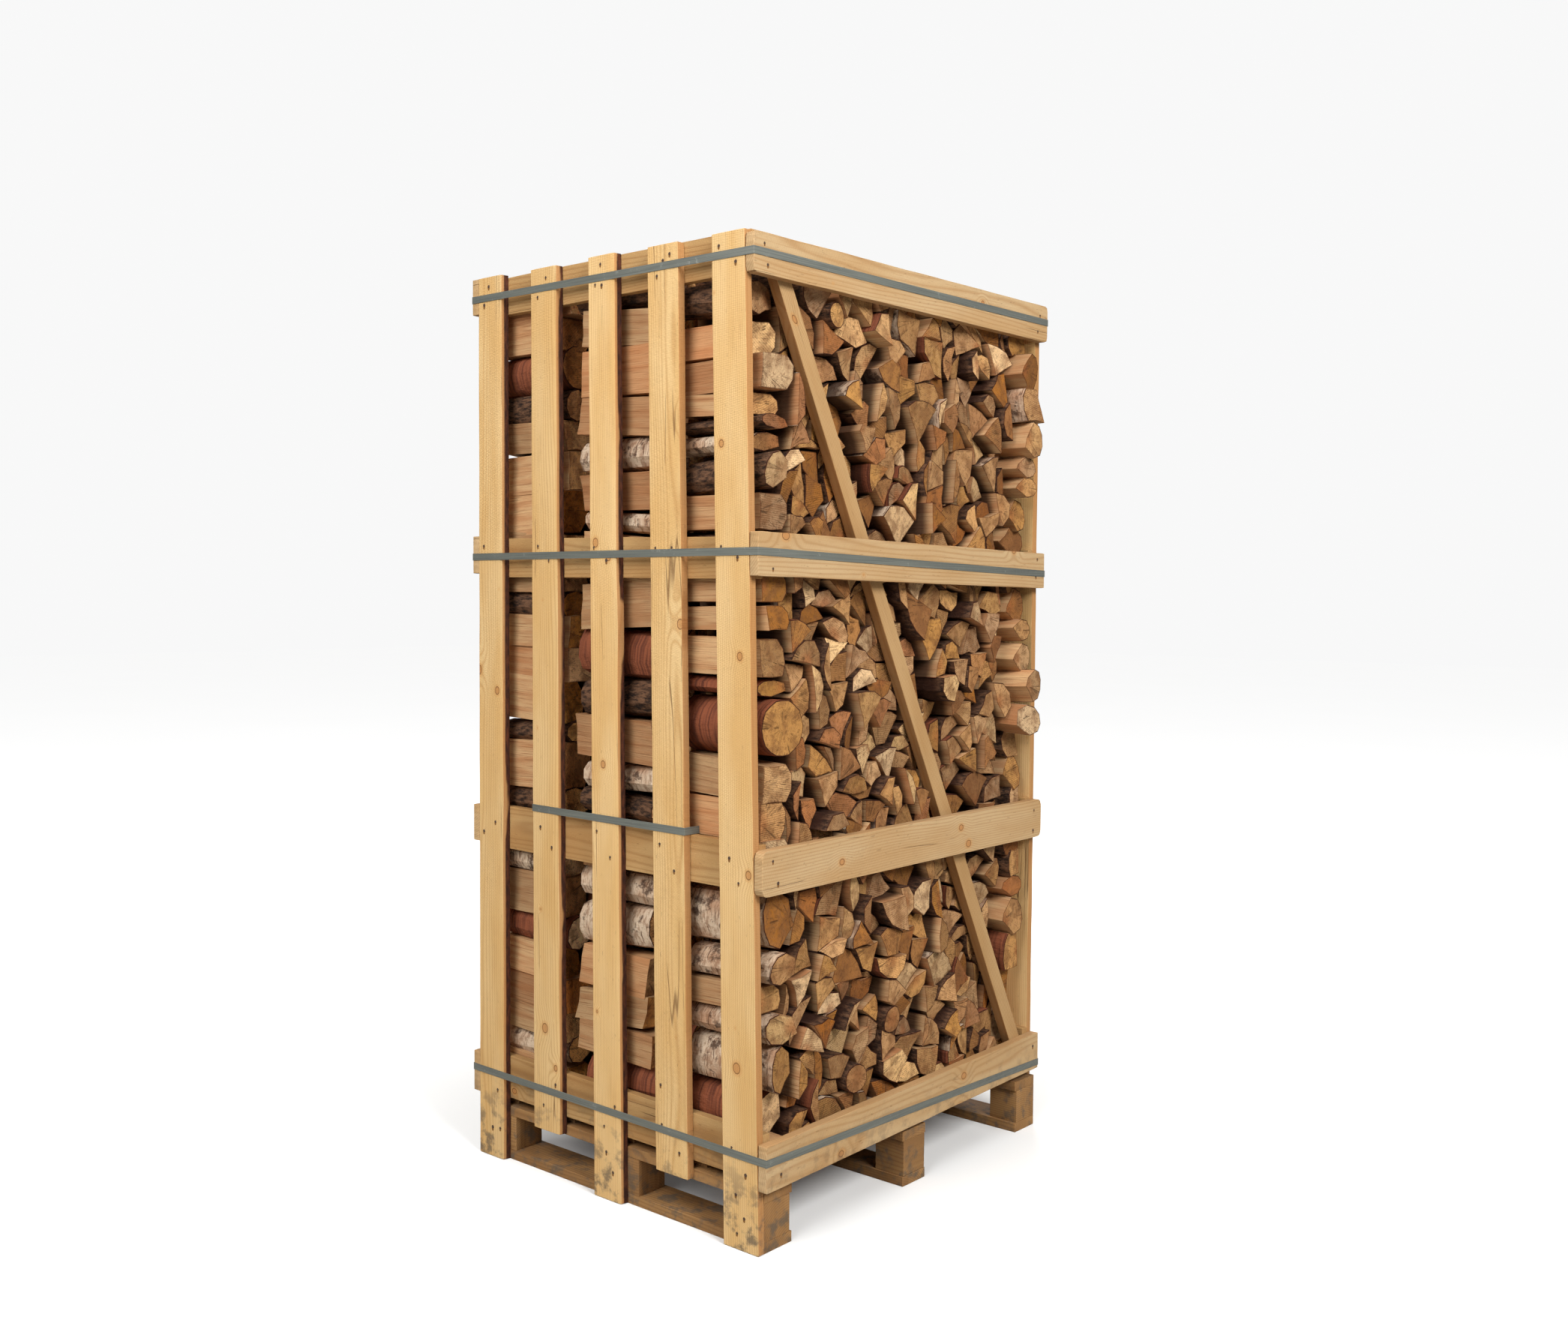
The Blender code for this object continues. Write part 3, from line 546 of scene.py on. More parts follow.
def board_tree():
    zero = (0.0, 0.0, 0.0)
    inputs = {"Cuts along": ("Int", 40), "Cuts across": ("Int", 9), "Tone": ("Vector", zero)}
    for name in ("Length", "Width", "Thickness", "Corner rounding", "Waviness"):
        inputs[name] = ("Float", 0.01)
    for name in ("Wane depth", "Wane side", "Wane face", "Seed"):
        inputs[name] = ("Float", 0.0)
    corner_names = [f"Corner {u}{v}{w}" for w in (0, 1) for v in (0, 1) for u in (0, 1)]
    inputs |= {name: ("Vector", zero) for name in corner_names} | {"Wood": ("Material", None)}
    wires, given = new_tree("sawn board", inputs)
    counts = (given["Cuts along"], given["Cuts across"], 4)
    cube = {f"Vertices {axis}": count for axis, count in zip("XYZ", counts)}
    geometry = wires.out("GeometryNodeMeshCube", cube)
    place = wires.split(wires.out("GeometryNodeInputPosition"))
    half = [given[name] * 0.5 for name in ("Length", "Width", "Thickness")]
    crowd = (ENDS_CROWD, 0.0, 0.0)
    drawn = [grid_place(wires, place[i], counts[i], half[i], crowd[i]) for i in range(3)]
    # Rounded arrises: keep to an inner box and stand off from it by the rounding.
    core = wires.join(*(wires.within(drawn[i], half[i] - EDGE_ROUND) for i in range(3)))
    away = (wires.join(*drawn) - core).unit()
    x, y, z = wires.split(core + away * EDGE_ROUND)
    # Knocked corners: the same in the plane of the board, with a larger rounding.
    knock = given["Corner rounding"]
    flat = [wires.within(value, half[i] - knock) for i, value in enumerate((x, y))]
    plan_core = wires.join(flat[0], flat[1], 0.0)
    stand = wires.join(x, y, 0.0) - plan_core
    reach = wires.math("MAXIMUM", stand.length(), 1e-5)
    pull = wires.math("MINIMUM", knock / reach, 1.0)
    x, y, _ = wires.split(plan_core + stand * pull)
    grain = wires.join(given["Seed"] * 7.3 + x, y, z)
    # Slow waves of the edges and faces.
    seeded = given["Seed"] * 3.7
    edge_noise = wires.noise(wires.join(x * 6.0, wires.math("SIGN", y) + seeded, 0.0), 3.0)
    edge_weight = (abs(y) / half[1]) ** 3.0
    edge_move = (edge_noise - 0.5) * given["Waviness"] * 3.0 * edge_weight
    face_noise = wires.noise(wires.join(x * 7.0, y * 30.0, wires.math("SIGN", z) + seeded))
    face_move = (face_noise - 0.5) * given["Waviness"]
    # Wane: the chosen edge is eaten away where a slow noise is high. Its bark is drawn on the
    # inner part of the edge, dark enough to be also painted shade of the side face, so that a thin
    # dark line runs beside the sawn face.
    depth, side, face = (given["Wane " + name] for name in ("depth", "side", "face"))
    outward = z * face / half[2]
    wane_noise = wires.noise(wires.join(x * 2.6, seeded, 4.0), 3.0)
    waned = wires.span(half[1] - y * side, 0.0, WANE_WIDTH, 1.0, 0.0)
    waned = waned * wires.span(wane_noise, 0.30, 0.48)
    wane_move = waned * wires.span(outward, -1.4, 1.0) * depth
    has_wane = wires.math("MINIMUM", depth * 300.0, 1.0)
    wane_bark_and_shade = waned * wires.span(outward, -0.35, 0.35, 1.0, 0.0) * has_wane
    moved = (x, y + edge_move - wane_move * side, z + face_move - wane_move * 0.35 * face)
    # Fit between the solid's eight corners.
    share = [value / half[i] * 0.5 + 0.5 for i, value in enumerate(moved)]
    level = [given[name] for name in corner_names]
    for part in share:
        pairs = zip(level[::2], level[1::2])
        level = [wires.mix(part, a, b, "VECTOR") for a, b in pairs]
    geometry = store(wires, geometry, "grain", "FLOAT_VECTOR", grain)
    geometry = store(wires, geometry, "tone", "FLOAT_VECTOR", given["Tone"])
    geometry = store(wires, geometry, "wane", "FLOAT", wane_bark_and_shade)
    geometry = store(wires, geometry, "edge", "FLOAT", abs(place[1]) > AT_EDGE)
    values = {"Geometry": geometry, "Position": level[0]}
    geometry = wires.out("GeometryNodeSetPosition", values)
    return end_tree(wires, geometry, [(given["Wood"], None)]), corner_names


BOARD_TREE, CORNER_NAMES = board_tree()
print("board tree:", len(BOARD_TREE.nodes), "nodes")

# %% [markdown]
# Fitting a board to its solid
#
# Each solid is a skewed box. Its eight corners, sorted by height, depth and side, say how long,
# wide and thick the board is. The longest way becomes the board's own X, the next its Y, so the
# grain always runs along the board.

# %% Build every board
SPACING_ALONG = 0.028
SPACING_ACROSS = 0.011
WANE = (0.004, 1, -1)  # its depth, edge and face on the first three slats
KNOCKED = {2: 0.016, 4: 0.011}  # the roundest corners, of two boards of the right side
board_rng = np.random.default_rng(7)


def solid_corners(node):
    """The eight corners of a box-like solid as an array indexed by (x side, y side, z side)."""
    spots = np.unique(np.round([v.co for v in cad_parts[node].data.vertices], 6), axis=0)
    found = np.zeros((2, 2, 2, 3))
    by_height = spots[np.argsort(spots[:, 2], kind="stable")]
    for w, four in enumerate((by_height[:4], by_height[4:])):
        by_depth = four[np.argsort(four[:, 1], kind="stable")]
        for v, two in enumerate((by_depth[:2], by_depth[2:])):
            for u, spot in enumerate(two[np.argsort(two[:, 0])]):
                found[u, v, w] = spot
    return found


def add_board(node, wood, slot, rounding=0.003, waviness=0.0012, wane=None, along=None):
    """wane is its depth, the edge (-1 or 1) and the face (-1 or 1) that it is on."""
    corners = solid_corners(node)
    sides = [np.linalg.norm(np.diff(corners, axis=a).mean(axis=(0, 1, 2))) for a in range(3)]
    order = list(np.argsort(sides)[::-1])
    if along is not None:
        order = [along] + [a for a in order if a != along]
    fitted = corners.transpose(*order, 3)
    ways = [fitted[spot] - fitted[0, 0, 0] for spot in ((1, 0, 0), (0, 1, 0), (0, 0, 1))]
    flipped = np.linalg.det(ways) < 0
    if flipped:
        fitted = fitted[:, :, ::-1]
    sizes = [float(sides[a]) for a in order]
    depth, side, face = wane or (0.0, 1, 1)
    values = {"Length": sizes[0], "Width": sizes[1], "Thickness": sizes[2]}
    values["Cuts along"] = max(6, round(sizes[0] / SPACING_ALONG))
    values["Cuts across"] = max(5, round(sizes[1] / SPACING_ACROSS) + 2)
    values |= {"Corner rounding": rounding, "Waviness": waviness, "Wane depth": depth}
    values |= {"Wane side": float(side), "Wane face": float(-face if flipped else face)}
    values["Seed"] = float(board_rng.uniform(0, 40))
    values["Tone"] = [float(t) for t in board_rng.uniform(0, 1, 3)]
    values["Wood"] = TIMBER[wood]
    for name in CORNER_NAMES:
        u, v, w = (int(c) for c in name[-3:])
        values[name] = [float(c) for c in fitted[u, v, w]]
    obj = grow(f"{node}_wood", BOARD_TREE, bpy.data.meshes.new(node), **values)
    return settle(obj, slot, node)


def add_all_boards():
    made = []

    def add(name, *more, **others):
        made.append(add_board(name, *more, **others))

    for i in (1, 2, 3):
        add(f"floor_board_{i}", "pallet", "pallet_wood")
        add(f"stringer_{i}", "pallet", "pallet_wood")
        for j in (1, 2, 3):
            add(f"block_{i}_{j}", "pallet", "pallet_wood", waviness=0.0016, along=0)
    for i in range(1, 6):
        add(f"deck_board_{i}", "pallet", "pallet_wood")
        wane = WANE if i < 4 else None
        add(f"front_slat_{i}", "rough" if i == 4 else "slat", "slat_wood", wane=wane)
        add(f"back_slat_{i}", "slat", "slat_wood")
    for i in range(1, 5):
        for side in ("front", "back"):
            add(f"{side}_rail_{i}", "rail", "rail_wood")
        add(f"right_board_{i}", "board", "board_wood", KNOCKED.get(i, 0.004))
        add(f"left_board_{i}", "board", "board_wood")
    for side in ("right", "left"):
        add(f"{side}_brace", "brace", "board_wood")
    return made


BOARDS = add_all_boards()
print("boards:", len(BOARDS), "triangles:", sum(len(o.data.polygons) * 2 for o in BOARDS))

# %% [markdown]
# How the stacks were filled
#
# Nobody lays firewood on a grid: each log goes where it fits. The solids were packed by a rule
# that does the same. It drops the outline of a split log, turned every way, where it leaves the
# least room beneath it. The same rule with the same seeds gives the same outlines here, so the
# detailed logs lie where the solid ones do.

# %% Sizes of the load, as the solids have them
WIDTH = 0.843
DEPTH = 1.042
CORNER_LEAN = 0.0256
MID_HEIGHT = 1.0
LOG_LENGTH = 0.240
BRACE_THICK = 0.024
BRACE_WIDTH = 0.0455
BRACE_TOP = (0.083, 1.985)
BRACE_FOOT = (0.9715, 0.210)
ORIGIN = np.array((0.434, DEPTH / 2, 0.0))
RIGHT_BOARDS = (
    ((0.1300, 0.2230), (0.1367, 0.2240)),
    ((0.7095, 0.8005), (0.7125, 0.8045)),
    ((1.3355, 1.4225), (1.3205, 1.4055)),
    ((1.9200, 2.0000), (1.9160, 2.0020)),
)
STACK_LEFT = {"left": 0.010, "middle": 0.296}
STACK_SEED = {"left": 11, "middle": 23, "right": 3}
LOAD_TOP = {"left": 1.985, "middle": 1.975, "right": 1.965}
LOAD_CLEAR = 0.0395
LOAD_FOOT = 0.1452
TIP_SPREAD = {"left": 0.010, "middle": 0.010, "right": 0.014}
TIP_BACK = 0.006  # how far behind the crate's right side the ends are on average
BEHIND_BOARD = 0.004  # ends stay this far behind a side board
BEHIND_BRACE = 0.035  # and this far behind the crate's side where the brace is
BESIDE_BRACE = 0.030
LEFT_LEAST = 0.002
RIGHT_LEAST = 0.579  # the right stack stays this side of the middle one
# Logs that were pushed out past the others: depth, height, how far.
PUSHED_OUT = (
    (0.090, 1.245, 0.022),
    (0.080, 1.315, 0.016),
    (0.965, 1.870, 0.032),
    (0.965, 1.800, 0.048),
    (0.965, 1.730, 0.054),
    (0.965, 1.660, 0.050),
    (0.965, 1.590, 0.034),
    (0.890, 1.690, 0.026),
    (0.885, 1.800, 0.020),
    (0.965, 1.180, 0.024),
    (0.965, 1.100, 0.056),
    (0.965, 1.020, 0.052),
    (0.895, 1.070, 0.022),
)
PUSHED_REACH = 0.048  # a log this near to one of those places is pushed out


def rack(x, y, z):
    """Where the leaning crate has a point that would be at x in a true one."""
    return x - CORNER_LEAN * (x / WIDTH) * (1 - y / DEPTH) * (z - MID_HEIGHT)


def between(a, b, share):
    return a + (b - a) * share


print("logs", LOG_LENGTH, "m long, in", len(STACK_SEED), "stacks")

# %% [markdown]
# Rules for cutting and dropping a log
#
# A split log is a slice of a trunk: a wedge, a half, a slab or a wedge without its heart. Its
# outline starts as an arc of bark and ends in one or two split sides. The front row shows between
# the slats, so its logs are listed from the photograph, each with its look, bottom and top.

# %% Kinds of log
COLUMN = 0.004  # width of the columns that the growing pile's height is kept in
TRIES = 4  # split logs that are tried before the best one is dropped
TURNS = 13  # ways round that each of them is tried
FULL = 0.05  # the pile is full where its lowest column is this near to its top
OVER_TOP = 0.02
CLEAR = 0.0008  # between a log and what it rests on
HEIGHT_COST = 22
SIZE_GAIN = 60
TOO_HIGH = 50
WORST = 40.0
KINDS = ("wedge", "half", "slab", "heart", "round")
KIND_SHARE = (0.52, 0.16, 0.14, 0.165, 0.015)
KIND_RADIUS = ((0.058, 0.099), (0.036, 0.052), (0.047, 0.072), (0.070, 0.105), (0.028, 0.038))
KIND_HALF_ANGLE = ((24, 50), (76, 92), (50, 66), (22, 36), (180, 180))
ARC_STEP = 0.016
ROUND_STEPS = 8
UNEVEN = 0.045
TIP_WANDER = 0.006
INNER_SHARE = (0.25, 0.45)  # where the pith side of a heart piece was split off

# The front row of each stack, which shows between the slats: look, bottom and top.
FRONT_ROW = {
    "left": (
        ("dark", 0.146, 0.196), ("flat", 0.196, 0.243), ("birch", 0.243, 0.302),
        ("flat", 0.302, 0.366), ("flat", 0.366, 0.434), ("flat", 0.434, 0.505),
        ("red", 0.505, 0.575), ("flat", 0.575, 0.664), ("birch", 0.664, 0.725),
        ("flat", 0.725, 0.800), ("dark", 0.800, 0.862), ("flat", 0.862, 0.964),
        ("dark", 0.964, 1.010), ("flat", 1.016, 1.111), ("flat", 1.111, 1.182),
        ("flat", 1.182, 1.248), ("dark", 1.248, 1.305), ("flat", 1.305, 1.369),
        ("flat", 1.369, 1.433), ("flat", 1.433, 1.525), ("flat", 1.525, 1.607),
        ("flat", 1.617, 1.680), ("dark", 1.680, 1.748), ("ring", 1.748, 1.838),
        ("flat", 1.838, 1.904), ("flat", 1.908, 1.975),
    ),
    "middle": (
        ("flat", 0.146, 0.205), ("red", 0.205, 0.292), ("flat", 0.292, 0.366),
        ("flat", 0.366, 0.438), ("flat", 0.438, 0.530), ("birch", 0.534, 0.631),
        ("birch", 0.631, 0.708), ("flat", 0.708, 0.813), ("dark", 0.813, 0.872),
        ("birch", 0.872, 0.938), ("flat", 0.940, 1.034), ("dark", 1.034, 1.118),
        ("red", 1.118, 1.225), ("flat", 1.225, 1.326), ("flat", 1.326, 1.426),
        ("birch", 1.428, 1.476), ("flat", 1.476, 1.557), ("birch", 1.558, 1.636),
        ("flat", 1.636, 1.718), ("flat", 1.720, 1.823), ("flat", 1.823, 1.902),
        ("dark", 1.902, 1.975),
    ),
    "right": (
        ("flat", 0.146, 0.210), ("red", 0.210, 0.300), ("birch", 0.300, 0.400),
        ("birch", 0.400, 0.462), ("flat", 0.462, 0.516), ("birch", 0.516, 0.586),
        ("birch", 0.586, 0.706), ("flat", 0.708, 0.806), ("flat", 0.806, 0.890),
        ("flat", 0.890, 0.970), ("ring", 0.974, 1.092), ("red", 1.096, 1.134),
        ("flat", 1.136, 1.214), ("flat", 1.226, 1.276), ("flat", 1.283, 1.346),
        ("dark", 1.346, 1.426), ("flat", 1.428, 1.500), ("dark", 1.502, 1.578),
        ("birch", 1.580, 1.622), ("dark", 1.624, 1.656), ("flat", 1.656, 1.702),
        ("flat", 1.702, 1.770), ("flat", 1.772, 1.842), ("dark", 1.858, 1.930),
    ),
}
# The back row is like it, but its logs come as they do.
ROW_LOOKS = ("flat", "dark", "red", "birch")
ROW_SHARE = (0.55, 0.20, 0.15, 0.10)
ROW_HEIGHT = (0.045, 0.088)
ROW_DEPTH = (0.090, 0.082, 0.074, 0.066, 0.056, 0.046)  # the deepest that fits is used
ROW_RUN = 12  # columns that the other logs leave to each of these rows
ROW_AHEAD = 0.09  # they are built up this far above the lowest column
ROW_LEAN = 0.12
BACK_LEAN = 0.40  # as a share of the depth, at the split side
RING_STEPS = 10
# Outlines of front logs as shares of depth and height: bark first, then the split corners.
FLAT_BARK = ((0.84, 0.0), (0.99, 0.30), (0.98, 0.74), (0.78, 1.0))
ROUND_BARK = ((0.50, 1.0), (0.20, 0.92), (0.03, 0.68), (0.0, 0.36), (0.14, 0.10), (0.46, 0.0))


def split_log(rng):
    """Cross-section of one split log about its pith: kind, corner points, and which are bark."""
    index = rng.choice(len(KINDS), p=KIND_SHARE)
    kind = KINDS[index]
    inner = rng.uniform(*INNER_SHARE)
    radius = rng.uniform(*KIND_RADIUS[index])
    half = math.radians(rng.uniform(*KIND_HALF_ANGLE[index]))
    steps = ROUND_STEPS if kind == "round" else max(3, round(half * radius / ARC_STEP))
    angles = np.linspace(-half, half, steps + 1)
    if kind == "round":
        angles = angles[:-1]
    uneven = radius * (1 + UNEVEN * rng.standard_normal(len(angles)))
    arc = np.stack([np.cos(angles) * uneven, np.sin(angles) * uneven], axis=1)
    points = arc
    if kind in ("wedge", "half"):
        points = np.vstack([arc, [[0.0, TIP_WANDER * rng.standard_normal()]]])
    if kind == "heart":
        points = np.vstack([arc, arc[[-1, 0]] * inner])
    return kind, points, np.arange(len(points)) < len(arc)


def row_log(look, deep, height, lean):
    """Cross-section of a log of the front or back row: corner points, which are bark, the pith."""
    if look == "ring":
        angles = 2 * math.pi * (np.arange(RING_STEPS) + 0.5) / RING_STEPS
        arc = 0.5 * height * (1 + np.stack([np.cos(angles), np.sin(angles)], axis=1))
        return arc, np.full(RING_STEPS, True), np.full(2, 0.5 * height)
    if look == "flat":
        arc, pith = FLAT_BARK, (0.0, 0.5)
        split = ((lean[0], 1.0), (lean[1], 0.0))
    else:
        arc, pith = ROUND_BARK, (0.9, 0.5)
        split = ((1.0, 0.25 + lean[0]), (0.92, 0.86 - lean[1]))
    points = np.array(arc + split) * (deep, height)
    return points, np.arange(len(points)) < len(arc), np.array(pith) * (deep, height)


print("front rows:", {side: len(row) for side, row in FRONT_ROW.items()})


# %% The packing rule
def profile(points):
    """First column, and the lowest and highest point of a cross-section in each column."""
    first = points[:, 0].min()
    count = math.ceil((points[:, 0].max() - first) / COLUMN) + 1
    columns = first + COLUMN * np.arange(count)
    low = np.full(count, np.inf)
    high = np.full(count, -np.inf)
    for (y0, z0), (y1, z1) in zip(points, np.roll(points, -1, axis=0)):
        if abs(y1 - y0) < 1e-9:
            continue
        near = (columns >= min(y0, y1) - COLUMN) & (columns <= max(y0, y1) + COLUMN)
        z = z0 + (z1 - z0) * np.clip((columns[near] - y0) / (y1 - y0), 0, 1)
        low[near] = np.minimum(low[near], z)
        high[near] = np.maximum(high[near], z)
    return first, low, high


def area(points):
    y, z = points[:, 0], points[:, 1]
    return 0.5 * abs(np.dot(y, np.roll(z, -1)) - np.dot(z, np.roll(y, -1)))


def drop_row(pile, look, bottom, height, lean_most, rng):
    """A log of the front row, as deep as it can be at its height; pile starts at its side."""
    lean = rng.uniform(0.0, lean_most, 2)
    for deep in ROW_DEPTH[rng.integers(3) :]:
        points, bark, pith = row_log(look, deep, height, lean)
        first, low, high = profile(points)
        rest = max((pile[: len(low)] - low).max(), bottom)
        if rest < bottom + COLUMN:
            break
    moved = np.array([-first, rest + CLEAR])
    pile[: len(high)] = np.maximum(pile[: len(high)], rest + high)
    return look, points + moved, bark, pith + moved


def drop_back(pile, rng):
    """The same at the back, where the look and the height are left to chance."""
    look = ROW_LOOKS[rng.choice(len(ROW_LOOKS), p=ROW_SHARE)]
    bottom = pile[-ROW_RUN:].max()
    height = rng.uniform(*ROW_HEIGHT)
    _, points, bark, pith = drop_row(pile[::-1], look, bottom, height, BACK_LEAN, rng)
    across = np.array([-1.0, 1.0])
    far = np.array([(len(pile) - 1) * COLUMN, 0.0])
    return look, (points * across + far)[::-1], bark[::-1], pith * across + far


def drop_best(pile, start, stop, floor, height, rng):
    """The best of a few random logs, turned and put where it leaves the least room below."""
    best = (WORST,)
    for _ in range(TRIES):
        kind, points, bark = split_log(rng)
        size = area(points)
        for turn in rng.uniform(0, 2 * math.pi, TURNS):
            c, s = math.cos(turn), math.sin(turn)
            turned = points @ np.array([[c, s], [-s, c]])
            first, low, high = profile(turned)
            under = np.lib.stride_tricks.sliding_window_view(pile[start:stop], len(low))
            rest = (under - low).max(axis=1)
            void = (rest[:, None] + low - under).sum(axis=1) * COLUMN
            middle = rest + 0.5 * (low.min() + high.max())
            score = void / size + HEIGHT_COST * (middle - floor) - SIZE_GAIN * size
            score[rest + high.max() > height + OVER_TOP] += TOO_HIGH
            k = int(np.argmin(score))
            if score[k] < best[0]:
                best = (score[k], start + k, rest[k], turned, first, high, kind, bark)
    if len(best) == 1:
        return None
    _, k, rest, turned, first, high, kind, bark = best
    pith = np.array([k * COLUMN - first, rest + CLEAR])
    pile[k : k + len(high)] = np.maximum(pile[k : k + len(high)], rest + high)
    return kind, turned + pith, bark, pith


def pack_logs(side):
    """Cross-sections of a pile: kind or look, corner points, bark flags and pith of each log."""
    rng = np.random.default_rng(STACK_SEED[side])
    pile = np.zeros(int((DEPTH - 2 * LOAD_CLEAR) / COLUMN))
    height = LOAD_TOP[side] - LOAD_FOOT
    waiting = list(FRONT_ROW[side])
    origin = np.array([LOAD_CLEAR, LOAD_FOOT])
    logs = []
    while pile.min() < height - FULL:
        floor = np.sort(pile)[: len(pile) // 8].mean()
        if waiting and waiting[0][1] - LOAD_FOOT < floor + ROW_AHEAD:
            look, bottom, top = waiting.pop(0)
            log = drop_row(pile, look, bottom - LOAD_FOOT, top - bottom, ROW_LEAN, rng)
        elif pile[-ROW_RUN:].max() < min(floor + ROW_AHEAD, height - ROW_HEIGHT[1]):
            log = drop_back(pile, rng)
        else:
            start, stop = (ROW_RUN, len(pile) - ROW_RUN) if waiting else (0, len(pile))
            log = drop_best(pile, start, stop, floor, height, rng)
        if log is None:
            break
        kind, points, bark, pith = log
        logs.append((kind, points + origin, bark, pith + origin))
    return logs


def brace_depth(z):
    """Depth of the middle of the right brace at a height."""
    share = (z - BRACE_FOOT[1]) / (BRACE_TOP[1] - BRACE_FOOT[1])
    return between(BRACE_FOOT[0], BRACE_TOP[0], share)


def log_tips(points, side, rng):
    """X of a log's two ends, kept off the boards and the brace."""
    y, z = points.mean(axis=0)
    low, high = points.min(axis=0), points.max(axis=0)
    spread = TIP_SPREAD[side]
    shift = float(np.clip(rng.normal(0.0, spread), -2 * spread, 2 * spread))
    if side == "right":
        for deep, tall, far in PUSHED_OUT:
            if math.hypot(y - deep, z - tall) < PUSHED_REACH:
                shift = far
        for board in RIGHT_BOARDS:
            foot, top = min(ends[0] for ends in board), max(ends[1] for ends in board)
            if low[1] < top + BEHIND_BOARD and high[1] > foot - BEHIND_BOARD:
                shift = min(shift, TIP_BACK - BEHIND_BOARD)
        spots = [(d, t) for t in (low[1], z, high[1]) for d in (low[0], y, high[0])]
        near = min(abs(brace_depth(t) - d) for d, t in spots)
        if near < BRACE_WIDTH or low[0] < brace_depth(z) < high[0]:
            shift = min(shift, TIP_BACK - BEHIND_BRACE)
        right = rack(WIDTH, y, z) + shift - TIP_BACK
        return max(right - LOG_LENGTH, rack(RIGHT_LEAST, y, z)), right
    start = rack(STACK_LEFT[side] + shift, y, z)
    if side == "left":
        start = max(STACK_LEFT[side] + shift, LEFT_LEAST)
        if abs(DEPTH - y - brace_depth(z)) < BRACE_WIDTH + BESIDE_BRACE:
            start = BRACE_THICK + LEFT_LEAST
    return start, start + LOG_LENGTH


print("packing rule ready")

# %% [markdown]
# From an outline to a log
#
# An outline from the packing has straight sides and sharp corners. A real log has bark a few
# millimetres thick that ends where the axe went in, and split faces that follow the grain in
# shallow waves. So the outline gets a bark edge and some wavy points, and every point carries
# what its log needs to know: where the log starts, how long it is, how it leans, and three random
# numbers that choose its colour and its bark.

# %% Finer outlines
BARK = 0.0028
SIDE_STEP = 0.030
SIDE_WAVE = 0.0014
SIDE_BOW = (-0.0008, 0.0012)
ROUND_OUT = 1.07  # points added to a round log stand out to its circle
# A number chooses the bark: birch, dark above the first, red above the second. It is random for
# the logs inside.
BIRCH_TO, DARK_TO = 0.20, 0.62
LOOKS = {"birch": 0.1, "dark": 0.5, "red": 0.9, "ring": 0.9}
INSIDE_LOOK = (0.14, 0.70)
TILT = 0.11  # slope of a cut end, which is never quite square
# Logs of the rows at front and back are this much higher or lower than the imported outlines.
ROW_SWELL = {"left": 0.005, "middle": -0.003, "right": -0.003, "back": 0.004}
SWAY_INSIDE = (0.012, 0.012)
SWAY_OF_ROW = (0.010, 0.038)  # and they slope a little more
TOP_LAYER = 0.07  # logs that reach this near to the top lie open, and get no painted shade on their sides


def fine_outline(kind, points, bark, rng):
    """Points of the outline with their bark flags."""
    found = []
    count = len(points)
    for i in range(count):
        j = (i + 1) % count
        a, b = points[i], points[j]
        way = b - a
        length = np.linalg.norm(way)
        barked = bark[i] and bark[j] and (j == i + 1 or kind in ("round", "ring"))
        if barked:
            found.append((a, 1.0))
            if kind in ("round", "ring"):
                middle = (a + b) / 2
                centre = points.mean(axis=0)
                found.append((centre + (middle - centre) * ROUND_OUT, 1.0))
            continue
        across = np.array([way[1], -way[0]]) / length
        found.append((a, 1.0 if bark[i] else 0.0))
        start = BARK if bark[i] else 0.0
        stop = length - (BARK if bark[j] else 0.0)
        if bark[i]:
            found.append((a + way * start / length, 0.0))
        steps = max(1, round((stop - start) / SIDE_STEP))
        bow = rng.normal(*SIDE_BOW)
        for s in range(1, steps):
            share = s / steps
            spot = a + way * between(start, stop, share) / length
            wave = bow * 4 * share * (1 - share) + rng.normal(0, SIDE_WAVE)
            found.append((spot + across * wave, 0.0))
        if bark[j]:
            found.append((a + way * stop / length, 0.0))
    return [p for p, _ in found], [f for _, f in found]


